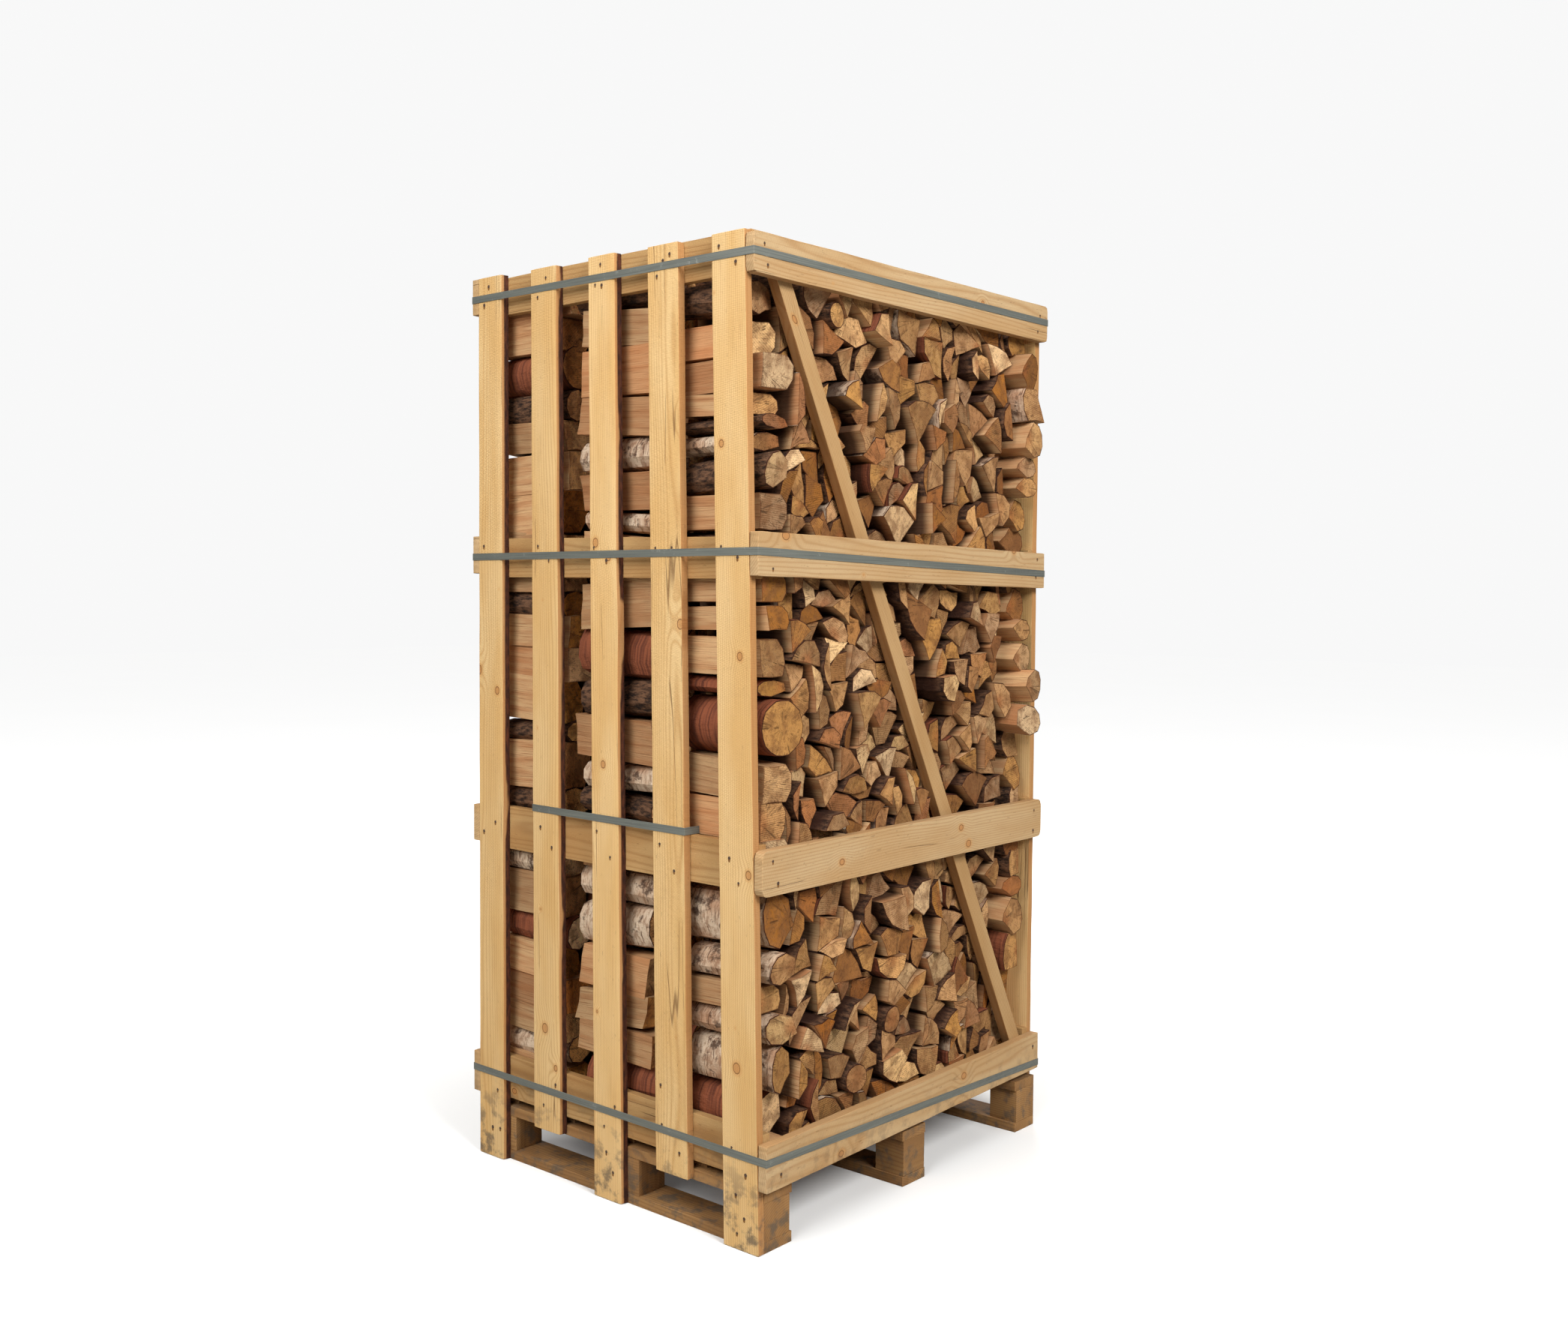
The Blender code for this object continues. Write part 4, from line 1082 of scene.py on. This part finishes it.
def stack_outlines(side):
    """A mesh with one face for each log of a stack, at the log's middle."""
    rng = np.random.default_rng(STACK_SEED[side])
    looks = np.random.default_rng(STACK_SEED[side] + 100)
    logs = pack_logs(side)
    spots, faces = [], []
    facts = {}
    for kind, points, bark, pith in logs:
        x0, x1 = log_tips(points, side, rng)
        in_row = kind not in KINDS
        inside = 0.0 if in_row or points[:, 1].max() > LOAD_TOP[side] - TOP_LAYER else 1.0
        if in_row:
            centre = points.mean(axis=0)
            swell = ROW_SWELL["back" if centre[0] > DEPTH / 2 else side]
            points = centre + (points - centre) * (1.0, 1.0 + swell / np.ptp(points[:, 1]))
        outline, flags = fine_outline(kind, points, bark, looks)
        middle = np.array([(x0 + x1) / 2, *np.mean(outline, axis=0)]) - ORIGIN
        tint = looks.uniform(0, 1, 3)
        tilt = np.clip(looks.normal(0, TILT, 2), -2 * TILT, 2 * TILT)
        sway = looks.normal(0, SWAY_OF_ROW if in_row else SWAY_INSIDE, 2)
        look = LOOKS.get(kind, between(*INSIDE_LOOK, tint[2]))
        lean = (np.array(outline) - np.mean(outline, axis=0)) @ tilt
        faces.append(range(len(spots), len(spots) + len(outline)))
        spots += [np.array([(x0 + x1) / 2, *point]) - ORIGIN for point in outline]
        own = {"middle": middle, "reach": x1 - x0, "pith": np.array([0, *pith]) - ORIGIN}
        own |= {"tint": tint, "tilt": (0.0, *tilt), "lean": (lean.min(), lean.max(), 0.0)}
        own |= {"sway": (0.0, *sway), "look": look, "inside": inside}
        facts.setdefault("bark", []).extend(flags)
        for name, value in own.items():
            facts.setdefault(name, []).extend([value] * len(outline))
    mesh = bpy.data.meshes.new(f"outlines_{side}")
    mesh.from_pydata([tuple(s) for s in spots], [], [tuple(f) for f in faces])
    for name, values in facts.items():
        flat = np.asarray(values, np.float32)
        kind = "FLOAT_VECTOR" if flat.ndim == 2 else "FLOAT"
        layer = mesh.attributes.new(name, kind, "POINT")
        layer.data.foreach_set("vector" if flat.ndim == 2 else "value", flat.ravel())
    return mesh, len(logs)


print("outline rule ready")

# %% [markdown]
# The log tree
#
# One face for each outline is all that the tree starts with. Extrude Mesh pulls every face out on
# its own, once towards each end of the log: first the body, then a narrow worn edge, then the cut
# face with the thickness of its bark drawn inside it. Each ring of points remembers its station,
# from the middle (0) to the end (1), so that a single Set Position can place the whole log,
# tapered, swayed and cut a little askew.

# %% Split log tree
STATIONS = ((0.55, 0.0), (0.993, 0.0), (1.0, 0.0007), (1.0, 0.0036))
FIRST_CUT_RING = 2


def log_tree():
    inputs = {"Roughness": ("Float", 0.0016), "Taper": ("Float", 0.05), "Seed": ("Float", 1.0)}
    inputs |= {"Sides": ("Material", None), "Ends": ("Material", None)}
    wires, given = new_tree("split logs", inputs)
    towards_right = store(wires, given["Geometry"], "toward", "FLOAT", 1.0)
    flipped = wires.out("GeometryNodeFlipFaces", {"Mesh": given["Geometry"]})
    towards_left = store(wires, flipped, "toward", "FLOAT", -1.0)
    geometry = wires.join_shapes(towards_right, towards_left)
    geometry = store(wires, geometry, "station", "FLOAT", 0.0)
    geometry = store(wires, geometry, "inset", "FLOAT", 0.0)
    geometry = store(wires, geometry, "cut", "BOOLEAN", False, "FACE")
    chosen = None
    for ring, (station, inset) in enumerate(STATIONS):
        values = {"Mesh": geometry, "Offset Scale": 0.0, "Individual": True}
        if chosen is not None:
            values["Selection"] = chosen
        pulled = wires.node("GeometryNodeExtrudeMesh", values, mode="FACES")
        geometry, chosen = pulled.outputs["Mesh"], pulled.outputs["Top"]
        geometry = store(wires, geometry, "station", "FLOAT", station, selection=chosen)
        geometry = store(wires, geometry, "inset", "FLOAT", inset, selection=chosen)
        if ring >= FIRST_CUT_RING:
            both = {0: chosen, 1: pulled.outputs["Side"]}
            either = wires.out("FunctionNodeBooleanMath", both, operation="OR")
            geometry = store(wires, geometry, "cut", "BOOLEAN", True, "FACE", either)
    geometry = store(wires, geometry, "bark", "FLOAT", 0.0, selection=chosen)
    # Where each point is in its log: along it, and out from its middle line.
    place = wires.out("GeometryNodeInputPosition")
    middle = named(wires, "middle", "FLOAT_VECTOR")
    out = (place - middle) * (0.0, 1.0, 1.0)
    distance = wires.math("MAXIMUM", out.length(), 0.001)
    tint = wires.split(named(wires, "tint", "FLOAT_VECTOR"))
    station, toward = named(wires, "station"), named(wires, "toward")
    along = station * toward
    x = along * (named(wires, "reach") * 0.5)
    taper = (tint[0] - 0.5) * along * given["Taper"]
    # Waves of the split sides: noise drawn out along the log.
    wave_place = out * (0.0, 60.0, 60.0) + wires.join(x * 9.0, given["Seed"], tint[1] * 90.0)
    wave = (wires.noise(wave_place) - 0.5) * given["Roughness"] * 3.0
    size = (1.0 - named(wires, "inset") / distance) * (1.0 + taper) + wave / distance
    # A tilted cut only takes off from the log, so the furthest point of its end stays in place.
    lean = wires.split(named(wires, "lean", "FLOAT_VECTOR"))
    furthest = wires.mix(toward > 0.0, lean[0], lean[1], "FLOAT")
    skew = wires.vector("DOT_PRODUCT", named(wires, "tilt", "FLOAT_VECTOR"), out)
    sway = named(wires, "sway", "FLOAT_VECTOR") * x
    target = middle + wires.join(x + (skew - furthest) * station, 0.0, 0.0) + sway + out * size
    own = place - named(wires, "pith", "FLOAT_VECTOR")
    own = own * (0.0, 1.0, 1.0) + wires.join(x, 0.0, 0.0)
    geometry = store(wires, geometry, "own", "FLOAT_VECTOR", own)
    geometry = wires.out("GeometryNodeSetPosition", {"Geometry": geometry, "Position": target})
    values = {"Geometry": geometry, "Distance": 1e-5}
    geometry = wires.out("GeometryNodeMergeByDistance", values)
    cut = named(wires, "cut", "BOOLEAN")
    return end_tree(wires, geometry, [(given["Sides"], None), (given["Ends"], cut)])


LOG_TREE = log_tree()
print("log tree:", len(LOG_TREE.nodes), "nodes")

# %% [markdown]
# Cut faces of the logs
#
# The end of a log shows its growth rings, drying cracks that run out from the pith, and the faint
# arcs of the saw. The colours differ from log to log: fresh birch is pale, alder turns orange, and
# weathered ends go grey-brown. The attribute called own holds a point's place from its own pith,
# so rings and cracks are centred as they grew, even on a wedge whose pith is at its tip.


# %% End grain
END_RING = 0.0034
END_SAW_STEP = 0.0048
GAP_PAINTED_LIGHT = 1.2  # painted light on the ends that face the gap between two stacks, behind the slats
PALEST = 2.1
END_TONES = (
    (0.00, (194, 152, 104)),
    (0.14, (178, 134, 86)),
    (0.32, (160, 114, 70)),
    (0.48, (184, 140, 92)),
    (0.60, (146, 100, 60)),
    (0.72, (172, 134, 96)),
    (0.84, (160, 104, 62)),
    (0.90, (212, 176, 130)),
)


def tone_of(wires, share):
    """One of the tones of the cut ends, by where the share lies."""
    made = wires.node("ShaderNodeValToRGB", {0: share})
    ramp = made.color_ramp
    ramp.interpolation = "CONSTANT"
    while len(ramp.elements) < len(END_TONES):
        ramp.elements.new(0.5)
    for element, (position, tone) in zip(ramp.elements, END_TONES):
        element.position = position
        element.color = paint(*tone)
    return made.outputs[0]


def log_ends():
    made, wires, shader = surface("cut log ends", 0.85, 0.15)
    own = read(wires, "own", "Vector")
    tint = wires.split(read(wires, "tint", "Vector"))
    _, y, z = wires.split(own)
    flat = wires.join(0.0, y, z)
    apart = wires.join(tint[0] * 37.0, tint[1] * 53.0, 0.0)

    def spotted(scale, *more, shift=apart):
        return wires.noise(own * (0.0, scale, scale) + shift, *more)

    soft = spotted(22.0) * 0.006
    radius = flat.length()
    ring = wires.wave((soft + radius) * (TURN / END_RING))
    # The angle round the pith, as a point on a circle, so that the pattern has no seam.
    ray = wires.noise(flat.unit() * (0.0, 5.0, 5.0) + apart, 3.0, 0.7)
    crack = wires.span(abs(ray - 0.5), 0.0, 0.014, 1.0, 0.0)
    crack = crack * wires.span(spotted(45.0, 1.0), 0.45, 0.58)
    turn = tint[1] * math.pi
    sawn = y * wires.math("COSINE", turn) + z * wires.math("SINE", turn)
    saw_mark = wires.wave((soft + sawn) * (TURN / END_SAW_STEP))
    grit = spotted(420.0, 3.0, 0.65)
    patch = spotted(30.0, 3.0, shift=apart * 2.0)
    chip = spotted(130.0)
    heart = wires.span(radius, 0.006, 0.034, 1.0, 0.0) * wires.span(tint[2], 0.35, 0.75)
    # Each end has its own lightness, and some have gone grey.
    worn = wires.split(wires.out("ShaderNodeTexWhiteNoise", {"Vector": apart}, pick="Color"))
    lightness = wires.span(worn[0], 0.0, 1.0, 0.62, 1.50, smooth=False)
    greyness = wires.span(worn[1], 0.0, 1.0, 0.92, 1.14, smooth=False)
    # Ends that face the gap behind the slats get painted light: they are made paler there.
    place = wires.split(wires.place())
    painted_light_in_gap = wires.span(place[0], 0.10, 0.16, 1.0, 0.0)
    painted_light_in_gap = painted_light_in_gap * wires.span(place[1], -0.30, -0.18, 1.0, 0.0)
    lightness = wires.math("MINIMUM", lightness * (painted_light_in_gap * GAP_PAINTED_LIGHT + 1.0), PALEST)
    colour = wires.stained(
        wires.toned(tone_of(wires, tint[0]), lightness, greyness),
        (wires.span(patch, 0.40, 0.66), 0.60, (112, 72, 42)),
        (heart, 0.5, (166, 96, 52)),
        (ring, 0.16, (120, 80, 46)),
        (saw_mark, 0.13, (110, 76, 48)),
        (wires.span(grit, 0.52, 0.72), 0.50, (104, 68, 38)),
        (crack, 0.75, (66, 42, 26)),
        # A dark rim round every cut end: painted shade that sets each end off from its neighbours.
        (wires.span(read(wires, "inset"), 0.0010, 0.0034, 0.60, 0.0), 1.0, (88, 50, 28)),
        (wires.span(read(wires, "bark"), 0.35, 0.6), 1.0, (60, 30, 18)),
        (wires.span(chip, 0.54, 0.64), 0.38, (96, 60, 34)),
    )
    height = saw_mark * 0.5 + ring * 0.3 + grit * 0.9 + crack * -1.2 + chip * 1.6
    finish_surface(wires, shader, colour, height, 0.0013, 0.9)
    return made


LOG_ENDS = log_ends()
print("finish:", LOG_ENDS.name)

# %% [markdown]
# Split faces and bark
#
# Along its sides a log is either split wood, which is torn along the fibres and catches the light
# in fine streaks, or bark. Three kinds of bark show in the load: white birch with dark dashes and
# black rough patches, dark furrowed bark, and smooth red-brown bark. The bark attribute chooses
# between wood and bark, and a number of each log chooses which bark.


# %% Sides
def log_sides():
    made, wires, shader = surface("split sides and bark", 0.8, 0.2)
    own = read(wires, "own", "Vector")
    tint = wires.split(read(wires, "tint", "Vector"))
    look = read(wires, "look")
    apart = wires.join(tint[1] * 31.0, tint[0] * 47.0, 0.0)

    def drawn(along, across, *more, shift=apart):
        return wires.noise(own * (along, across, across) + shift, *more)

    fibre = drawn(9.0, 330.0, 3.0, 0.6)
    flow = drawn(6.0, 60.0)
    wood = wires.stained(
        wires.mix(wires.span(flow, 0.32, 0.68), paint(208, 168, 122), paint(190, 140, 96)),
        (wires.span(tint[0], 0.62, 0.95), 0.5, (186, 116, 70)),
        (wires.span(fibre, 0.50, 0.70), 0.55, (142, 92, 56)),
    )
    worn = wires.split(wires.out("ShaderNodeTexWhiteNoise", {"Vector": apart}, pick="Color"))
    wood = wires.toned(wood, wires.span(worn[0], 0.0, 1.0, 0.62, 1.10, smooth=False))
    # White birch bark: dashes run round the log, dark patches break it up, pink shows beneath.
    scab = wires.span(drawn(26.0, 30.0, 4.0, 0.7), 0.52, 0.64)
    blush = drawn(14.0, 18.0, 3.0, shift=apart * 3.0)
    birch = wires.stained(
        wires.mix(wires.span(blush, 0.35, 0.7), paint(212, 190, 164), paint(180, 142, 112)),
        (wires.span(drawn(95.0, 40.0, 3.0, 0.7), 0.46, 0.62), 0.65, (138, 98, 70)),
        (wires.span(drawn(210.0, 26.0), 0.60, 0.67), 0.8, (92, 62, 44)),
        (scab, 0.85, (66, 46, 36)),
    )
    # Dark furrowed bark, and smooth red-brown bark with faint bands round it.
    furrow = drawn(40.0, 120.0, 4.0, 0.7)
    dark = wires.mix(wires.span(furrow, 0.35, 0.65), paint(36, 25, 20), paint(112, 80, 58))
    band = wires.span(drawn(150.0, 9.0), 0.4, 0.7)
    red = wires.mix(band, paint(138, 78, 52), paint(92, 50, 36))
    bark = wires.mix(look > BIRCH_TO, birch, dark)
    bark = wires.mix(look > DARK_TO, bark, red)
    barked = wires.span(read(wires, "bark"), 0.45, 0.55)
    colour = wires.mix(barked, wood, bark)
    # Away from its ends a log of the inner rows gets painted shade, as dark as the deep gaps of
    # the load.
    to_end = read(wires, "reach") * 0.5 - abs(wires.split(own)[0])
    inside = read(wires, "inside") * wires.span(to_end, 0.004, 0.032, 0.15, 0.90)
    colour = wires.mix(inside, colour, paint(44, 21, 11))
    wood_height = fibre + flow * 0.8
    bark_height = furrow * 1.6 + scab * 0.6
    height = wires.mix(barked, wood_height, bark_height, "FLOAT")
    finish_surface(wires, shader, colour, height, 0.0018, 0.9)
    return made


LOG_SIDES = log_sides()
print("finish:", LOG_SIDES.name)


# %% Grow the three stacks
def add_stack(side):
    mesh, count = stack_outlines(side)
    values = {"Seed": float(STACK_SEED[side]), "Sides": LOG_SIDES, "Ends": LOG_ENDS}
    obj = grow(f"firewood_{side}", LOG_TREE, mesh, crease=32.0, **values)
    settle(obj, "split_logs", f"logs_{side}")
    obj.data.calc_loop_triangles()
    print(side, "stack:", count, "logs,", len(obj.data.loop_triangles), "triangles")
    return obj


for side in STACK_SEED:
    add_stack(side)

# %% [markdown]
# Strapping
#
# Grey strapping goes three times round the crate, pulled tight over its corners, and a fourth band
# goes round the middle slats through the load. A strap is a ribbon along a path, which is what
# Curve to Mesh makes: the path is the middle line of the solid strap, and the profile a flat
# rectangle. Fillet Curve gives the corners the small bend that a stiff band keeps.


# %% Strap material
def strap_finish():
    made, wires, shader = surface("grey strapping", 0.42, 0.5)
    place = wires.place()
    streak = wires.noise(place * (6.0, 6.0, 700.0))
    scuff = wires.noise(place, 3.0, 0.7, scale=60.0)
    colour = wires.mix(wires.span(streak, 0.3, 0.7), paint(88, 91, 86), paint(108, 111, 104))
    colour = wires.stained(colour, (wires.span(scuff, 0.62, 0.74), 0.5, (142, 144, 138)))
    roughness = wires.span(scuff, 0.3, 0.7, 0.35, 0.55)
    finish_surface(wires, shader, colour, streak, 0.0003, 0.6, roughness)
    return made


STRAP_FINISH = strap_finish()
print("finish:", STRAP_FINISH.name)

# %% Strap tree
STRAP_THICK = 0.0010
STRAP_WIDTH = 0.0155


def strap_tree():
    inputs = {"Width": ("Float", STRAP_WIDTH), "Thickness": ("Float", STRAP_THICK)}
    inputs |= {"Corner radius": ("Float", 0.0015), "Band": ("Material", None)}
    wires, given = new_tree("strapping", inputs)
    curve = wires.out("GeometryNodeMeshToCurve", {"Mesh": given["Geometry"]})
    fillet = wires.node("GeometryNodeFilletCurve", mode="POLY")
    for name, value in (("Curve", curve), ("Radius", given["Corner radius"]), ("Count", 3)):
        wires.feed(fillet.inputs[name], value)
    turned = wires.out("GeometryNodeSetCurveNormal", {"Curve": fillet.outputs[0]}, mode="Z_UP")
    values = {"Width": given["Thickness"], "Height": given["Width"]}
    section = wires.out("GeometryNodeCurvePrimitiveQuadrilateral", values)
    band = wires.out("GeometryNodeCurveToMesh", {"Curve": turned, "Profile Curve": section})
    return end_tree(wires, band, [(given["Band"], None)])


STRAP_TREE = strap_tree()
print("strap tree:", len(STRAP_TREE.nodes), "nodes")


# %% Run each strap round its solid
def add_strap(node):
    """A closed ribbon through the middle of the solid band's four corners."""
    spots = np.array([v.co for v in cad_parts[node].data.vertices])
    centre = (spots.min(axis=0) + spots.max(axis=0)) / 2
    ring = []
    for side_x, side_y in ((-1, -1), (1, -1), (1, 1), (-1, 1)):
        here = ((spots[:, 0] - centre[0]) * side_x > 0) & ((spots[:, 1] - centre[1]) * side_y > 0)
        ring.append(tuple(spots[here].mean(axis=0)))
    mesh = bpy.data.meshes.new(node)
    mesh.from_pydata(ring, [(0, 1), (1, 2), (2, 3), (3, 0)], [])
    obj = grow(f"{node}_band", STRAP_TREE, mesh, Band=STRAP_FINISH)
    return settle(obj, "strapping", node)


BANDS = [add_strap(node) for node in ("strap_1", "strap_2", "strap_3", "tie_strap")]
for band_piece in BANDS:
    solid_low, solid_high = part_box(band_piece.name.replace("_band", ""))
    spots = np.array([v.co for v in band_piece.data.vertices])
    off = np.abs(np.array([spots.min(axis=0) - solid_low, spots.max(axis=0) - solid_high])).max()
    print(band_piece.name, "differs from its solid by", round(float(off) * 1000, 2), "mm")

# %% [markdown]
# Nails
#
# The crate is nailed together from outside, two nails at most crossings. A nail in rough timber
# is only a dark, slightly sunk disc with a rust streak below it, a few millimetres across. Many
# tiny copies of one shape are what Instance on Points is for: the points say where, and an
# attribute which way each nail faces.

# %% Nail tree
NAIL_RADIUS = 0.0034
NAIL_HEIGHT = 0.0007


def nail_tree():
    inputs = {"Radius": ("Float", NAIL_RADIUS), "Height": ("Float", NAIL_HEIGHT)}
    inputs |= {"Streak": ("Float", 0.0045), "Iron": ("Material", None), "Rust": ("Material", None)}
    wires, given = new_tree("nails", inputs)
    radius, long = given["Radius"], given["Streak"]
    axes = {0: named(wires, "facing", "FLOAT_VECTOR"), 1: (0.0, 0.0, 1.0)}
    settings = {"primary_axis": "Z", "secondary_axis": "Y"}
    turned = wires.out("FunctionNodeAxesToRotation", axes, **settings)
    points = wires.out("GeometryNodeMeshToPoints", {"Mesh": given["Geometry"]})
    values = {"Vertices": 10, "Radius Top": radius * 0.75, "Radius Bottom": radius}
    head = wires.out("GeometryNodeMeshCone", values | {"Depth": given["Height"]})
    head = wires.out("GeometryNodeSetMaterial", {"Geometry": head, "Material": given["Iron"]})
    values = {"Vertices": 8, "Radius": 1.0}
    disc = wires.out("GeometryNodeMeshCircle", values, fill_type="NGON")
    values = {"Geometry": disc, "Translation": wires.join(0.0, long * -0.75, 0.0002)}
    values["Scale"] = wires.join(radius * 0.8, long, 1.0)
    streak = wires.out("GeometryNodeTransform", values)
    streak = wires.out("GeometryNodeSetMaterial", {"Geometry": streak, "Material": given["Rust"]})
    nail = wires.join_shapes(head, streak)
    values = {"Min": 0.75, "Max": 1.2, "Seed": 5}
    spread = wires.out("FunctionNodeRandomValue", values, pick=1, data_type="FLOAT")
    values = {"Points": points, "Instance": nail, "Rotation": turned}
    values["Scale"] = wires.join(spread, spread, 1.0)
    placed = wires.out("GeometryNodeInstanceOnPoints", values)
    return end_tree(wires, placed, [])


NAIL_TREE = nail_tree()
print("nail tree:", len(NAIL_TREE.nodes), "nodes")

# %% Where the nails are
# Nails that show in the front slats: across from the left, and height.
FRONT_NAILS = (
    (0.065, 0.160), (0.047, 0.069), (0.074, 0.072), (0.017, 0.753), (0.058, 0.778),
    (0.018, 1.407), (0.266, 0.214), (0.226, 0.161), (0.215, 0.783), (0.253, 0.741),
    (0.207, 1.404), (0.243, 1.372), (0.457, 0.208), (0.424, 0.159), (0.431, 0.104),
    (0.452, 0.064), (0.399, 0.793), (0.441, 0.741), (0.595, 0.285), (0.599, 0.203),
    (0.650, 0.155), (0.590, 0.786), (0.632, 0.735), (0.575, 1.394), (0.795, 0.202),
    (0.833, 0.155), (0.807, 0.110), (0.830, 0.067), (0.811, 0.033), (0.785, 0.779),
    (0.389, 1.398), (0.428, 1.370), (0.622, 1.394), (0.810, 0.732), (0.759, 1.394),
    (0.803, 1.372), (0.037, 1.992), (0.021, 1.952), (0.233, 1.987), (0.206, 1.948),
    (0.408, 1.992), (0.392, 1.951), (0.412, 1.948), (0.613, 1.985), (0.594, 1.974),
    (0.577, 1.945), (0.749, 1.981), (0.794, 1.945),
)
# Nails of a side board: depth, and height above its middle.
BOARD_NAILS = ((0.028, 0.017), (0.046, -0.020), (DEPTH - 0.030, 0.018), (DEPTH - 0.038, -0.021))
nail_rng = np.random.default_rng(5)


def nails_at(spots, facing):
    return [(Vector(s) - Vector(ORIGIN), facing) for s in spots]


def frame_nails(side):
    """Nails of the slats; those of the back, which can't be seen, are taken to be the same."""
    y = -NAIL_HEIGHT * 0.3 if side == "front" else DEPTH + NAIL_HEIGHT * 0.3
    spots = [(x, y, z) for x, z in FRONT_NAILS]
    return nails_at(spots, (0.0, -1.0 if side == "front" else 1.0, 0.0))


def board_nails(side):
    """Nails of the side boards, two at each end."""
    spots = []
    out = 1 if side == "right" else -1
    for i in range(1, 5):
        low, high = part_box(f"{side}_board_{i}")
        fixed = 0 if low.z < MID_HEIGHT else DEPTH
        for y, rise in BOARD_NAILS:
            x = low.x
            if side == "right":
                x = high.x + rack(WIDTH, y, low.z) - rack(WIDTH, fixed, low.z)
            at = x + ORIGIN[0] + out * NAIL_HEIGHT * 0.3
            deep = y + nail_rng.normal(0, 0.004)
            spots.append((at, deep, (low.z + high.z) / 2 + rise + nail_rng.normal(0, 0.003)))
    return nails_at(spots, (float(out), 0.0, 0.0))


def add_nails():
    found = frame_nails("front") + frame_nails("back")
    found += board_nails("right") + board_nails("left")
    mesh = bpy.data.meshes.new("nail_points")
    mesh.from_pydata([tuple(spot) for spot, _ in found], [], [])
    layer = mesh.attributes.new("facing", "FLOAT_VECTOR", "POINT")
    layer.data.foreach_set("vector", np.array([f for _, f in found], np.float32).ravel())
    iron, wires, shader = surface("nail iron", 0.6, 0.4)
    rough = wires.noise(wires.place(), scale=400.0)
    finish_surface(wires, shader, wires.mix(rough, paint(46, 38, 34), paint(92, 66, 48)))
    rust, wires, shader = surface("rust streak", 0.8, 0.1)
    finish_surface(wires, shader, wires.mix(0.5, paint(134, 92, 52), paint(120, 84, 50)))
    obj = grow("nails", NAIL_TREE, mesh, Iron=iron, Rust=rust)
    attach(obj, "root")
    return obj, len(found)


NAILS, nail_count = add_nails()
print("nails:", nail_count, "with", len(NAILS.data.polygons), "faces")
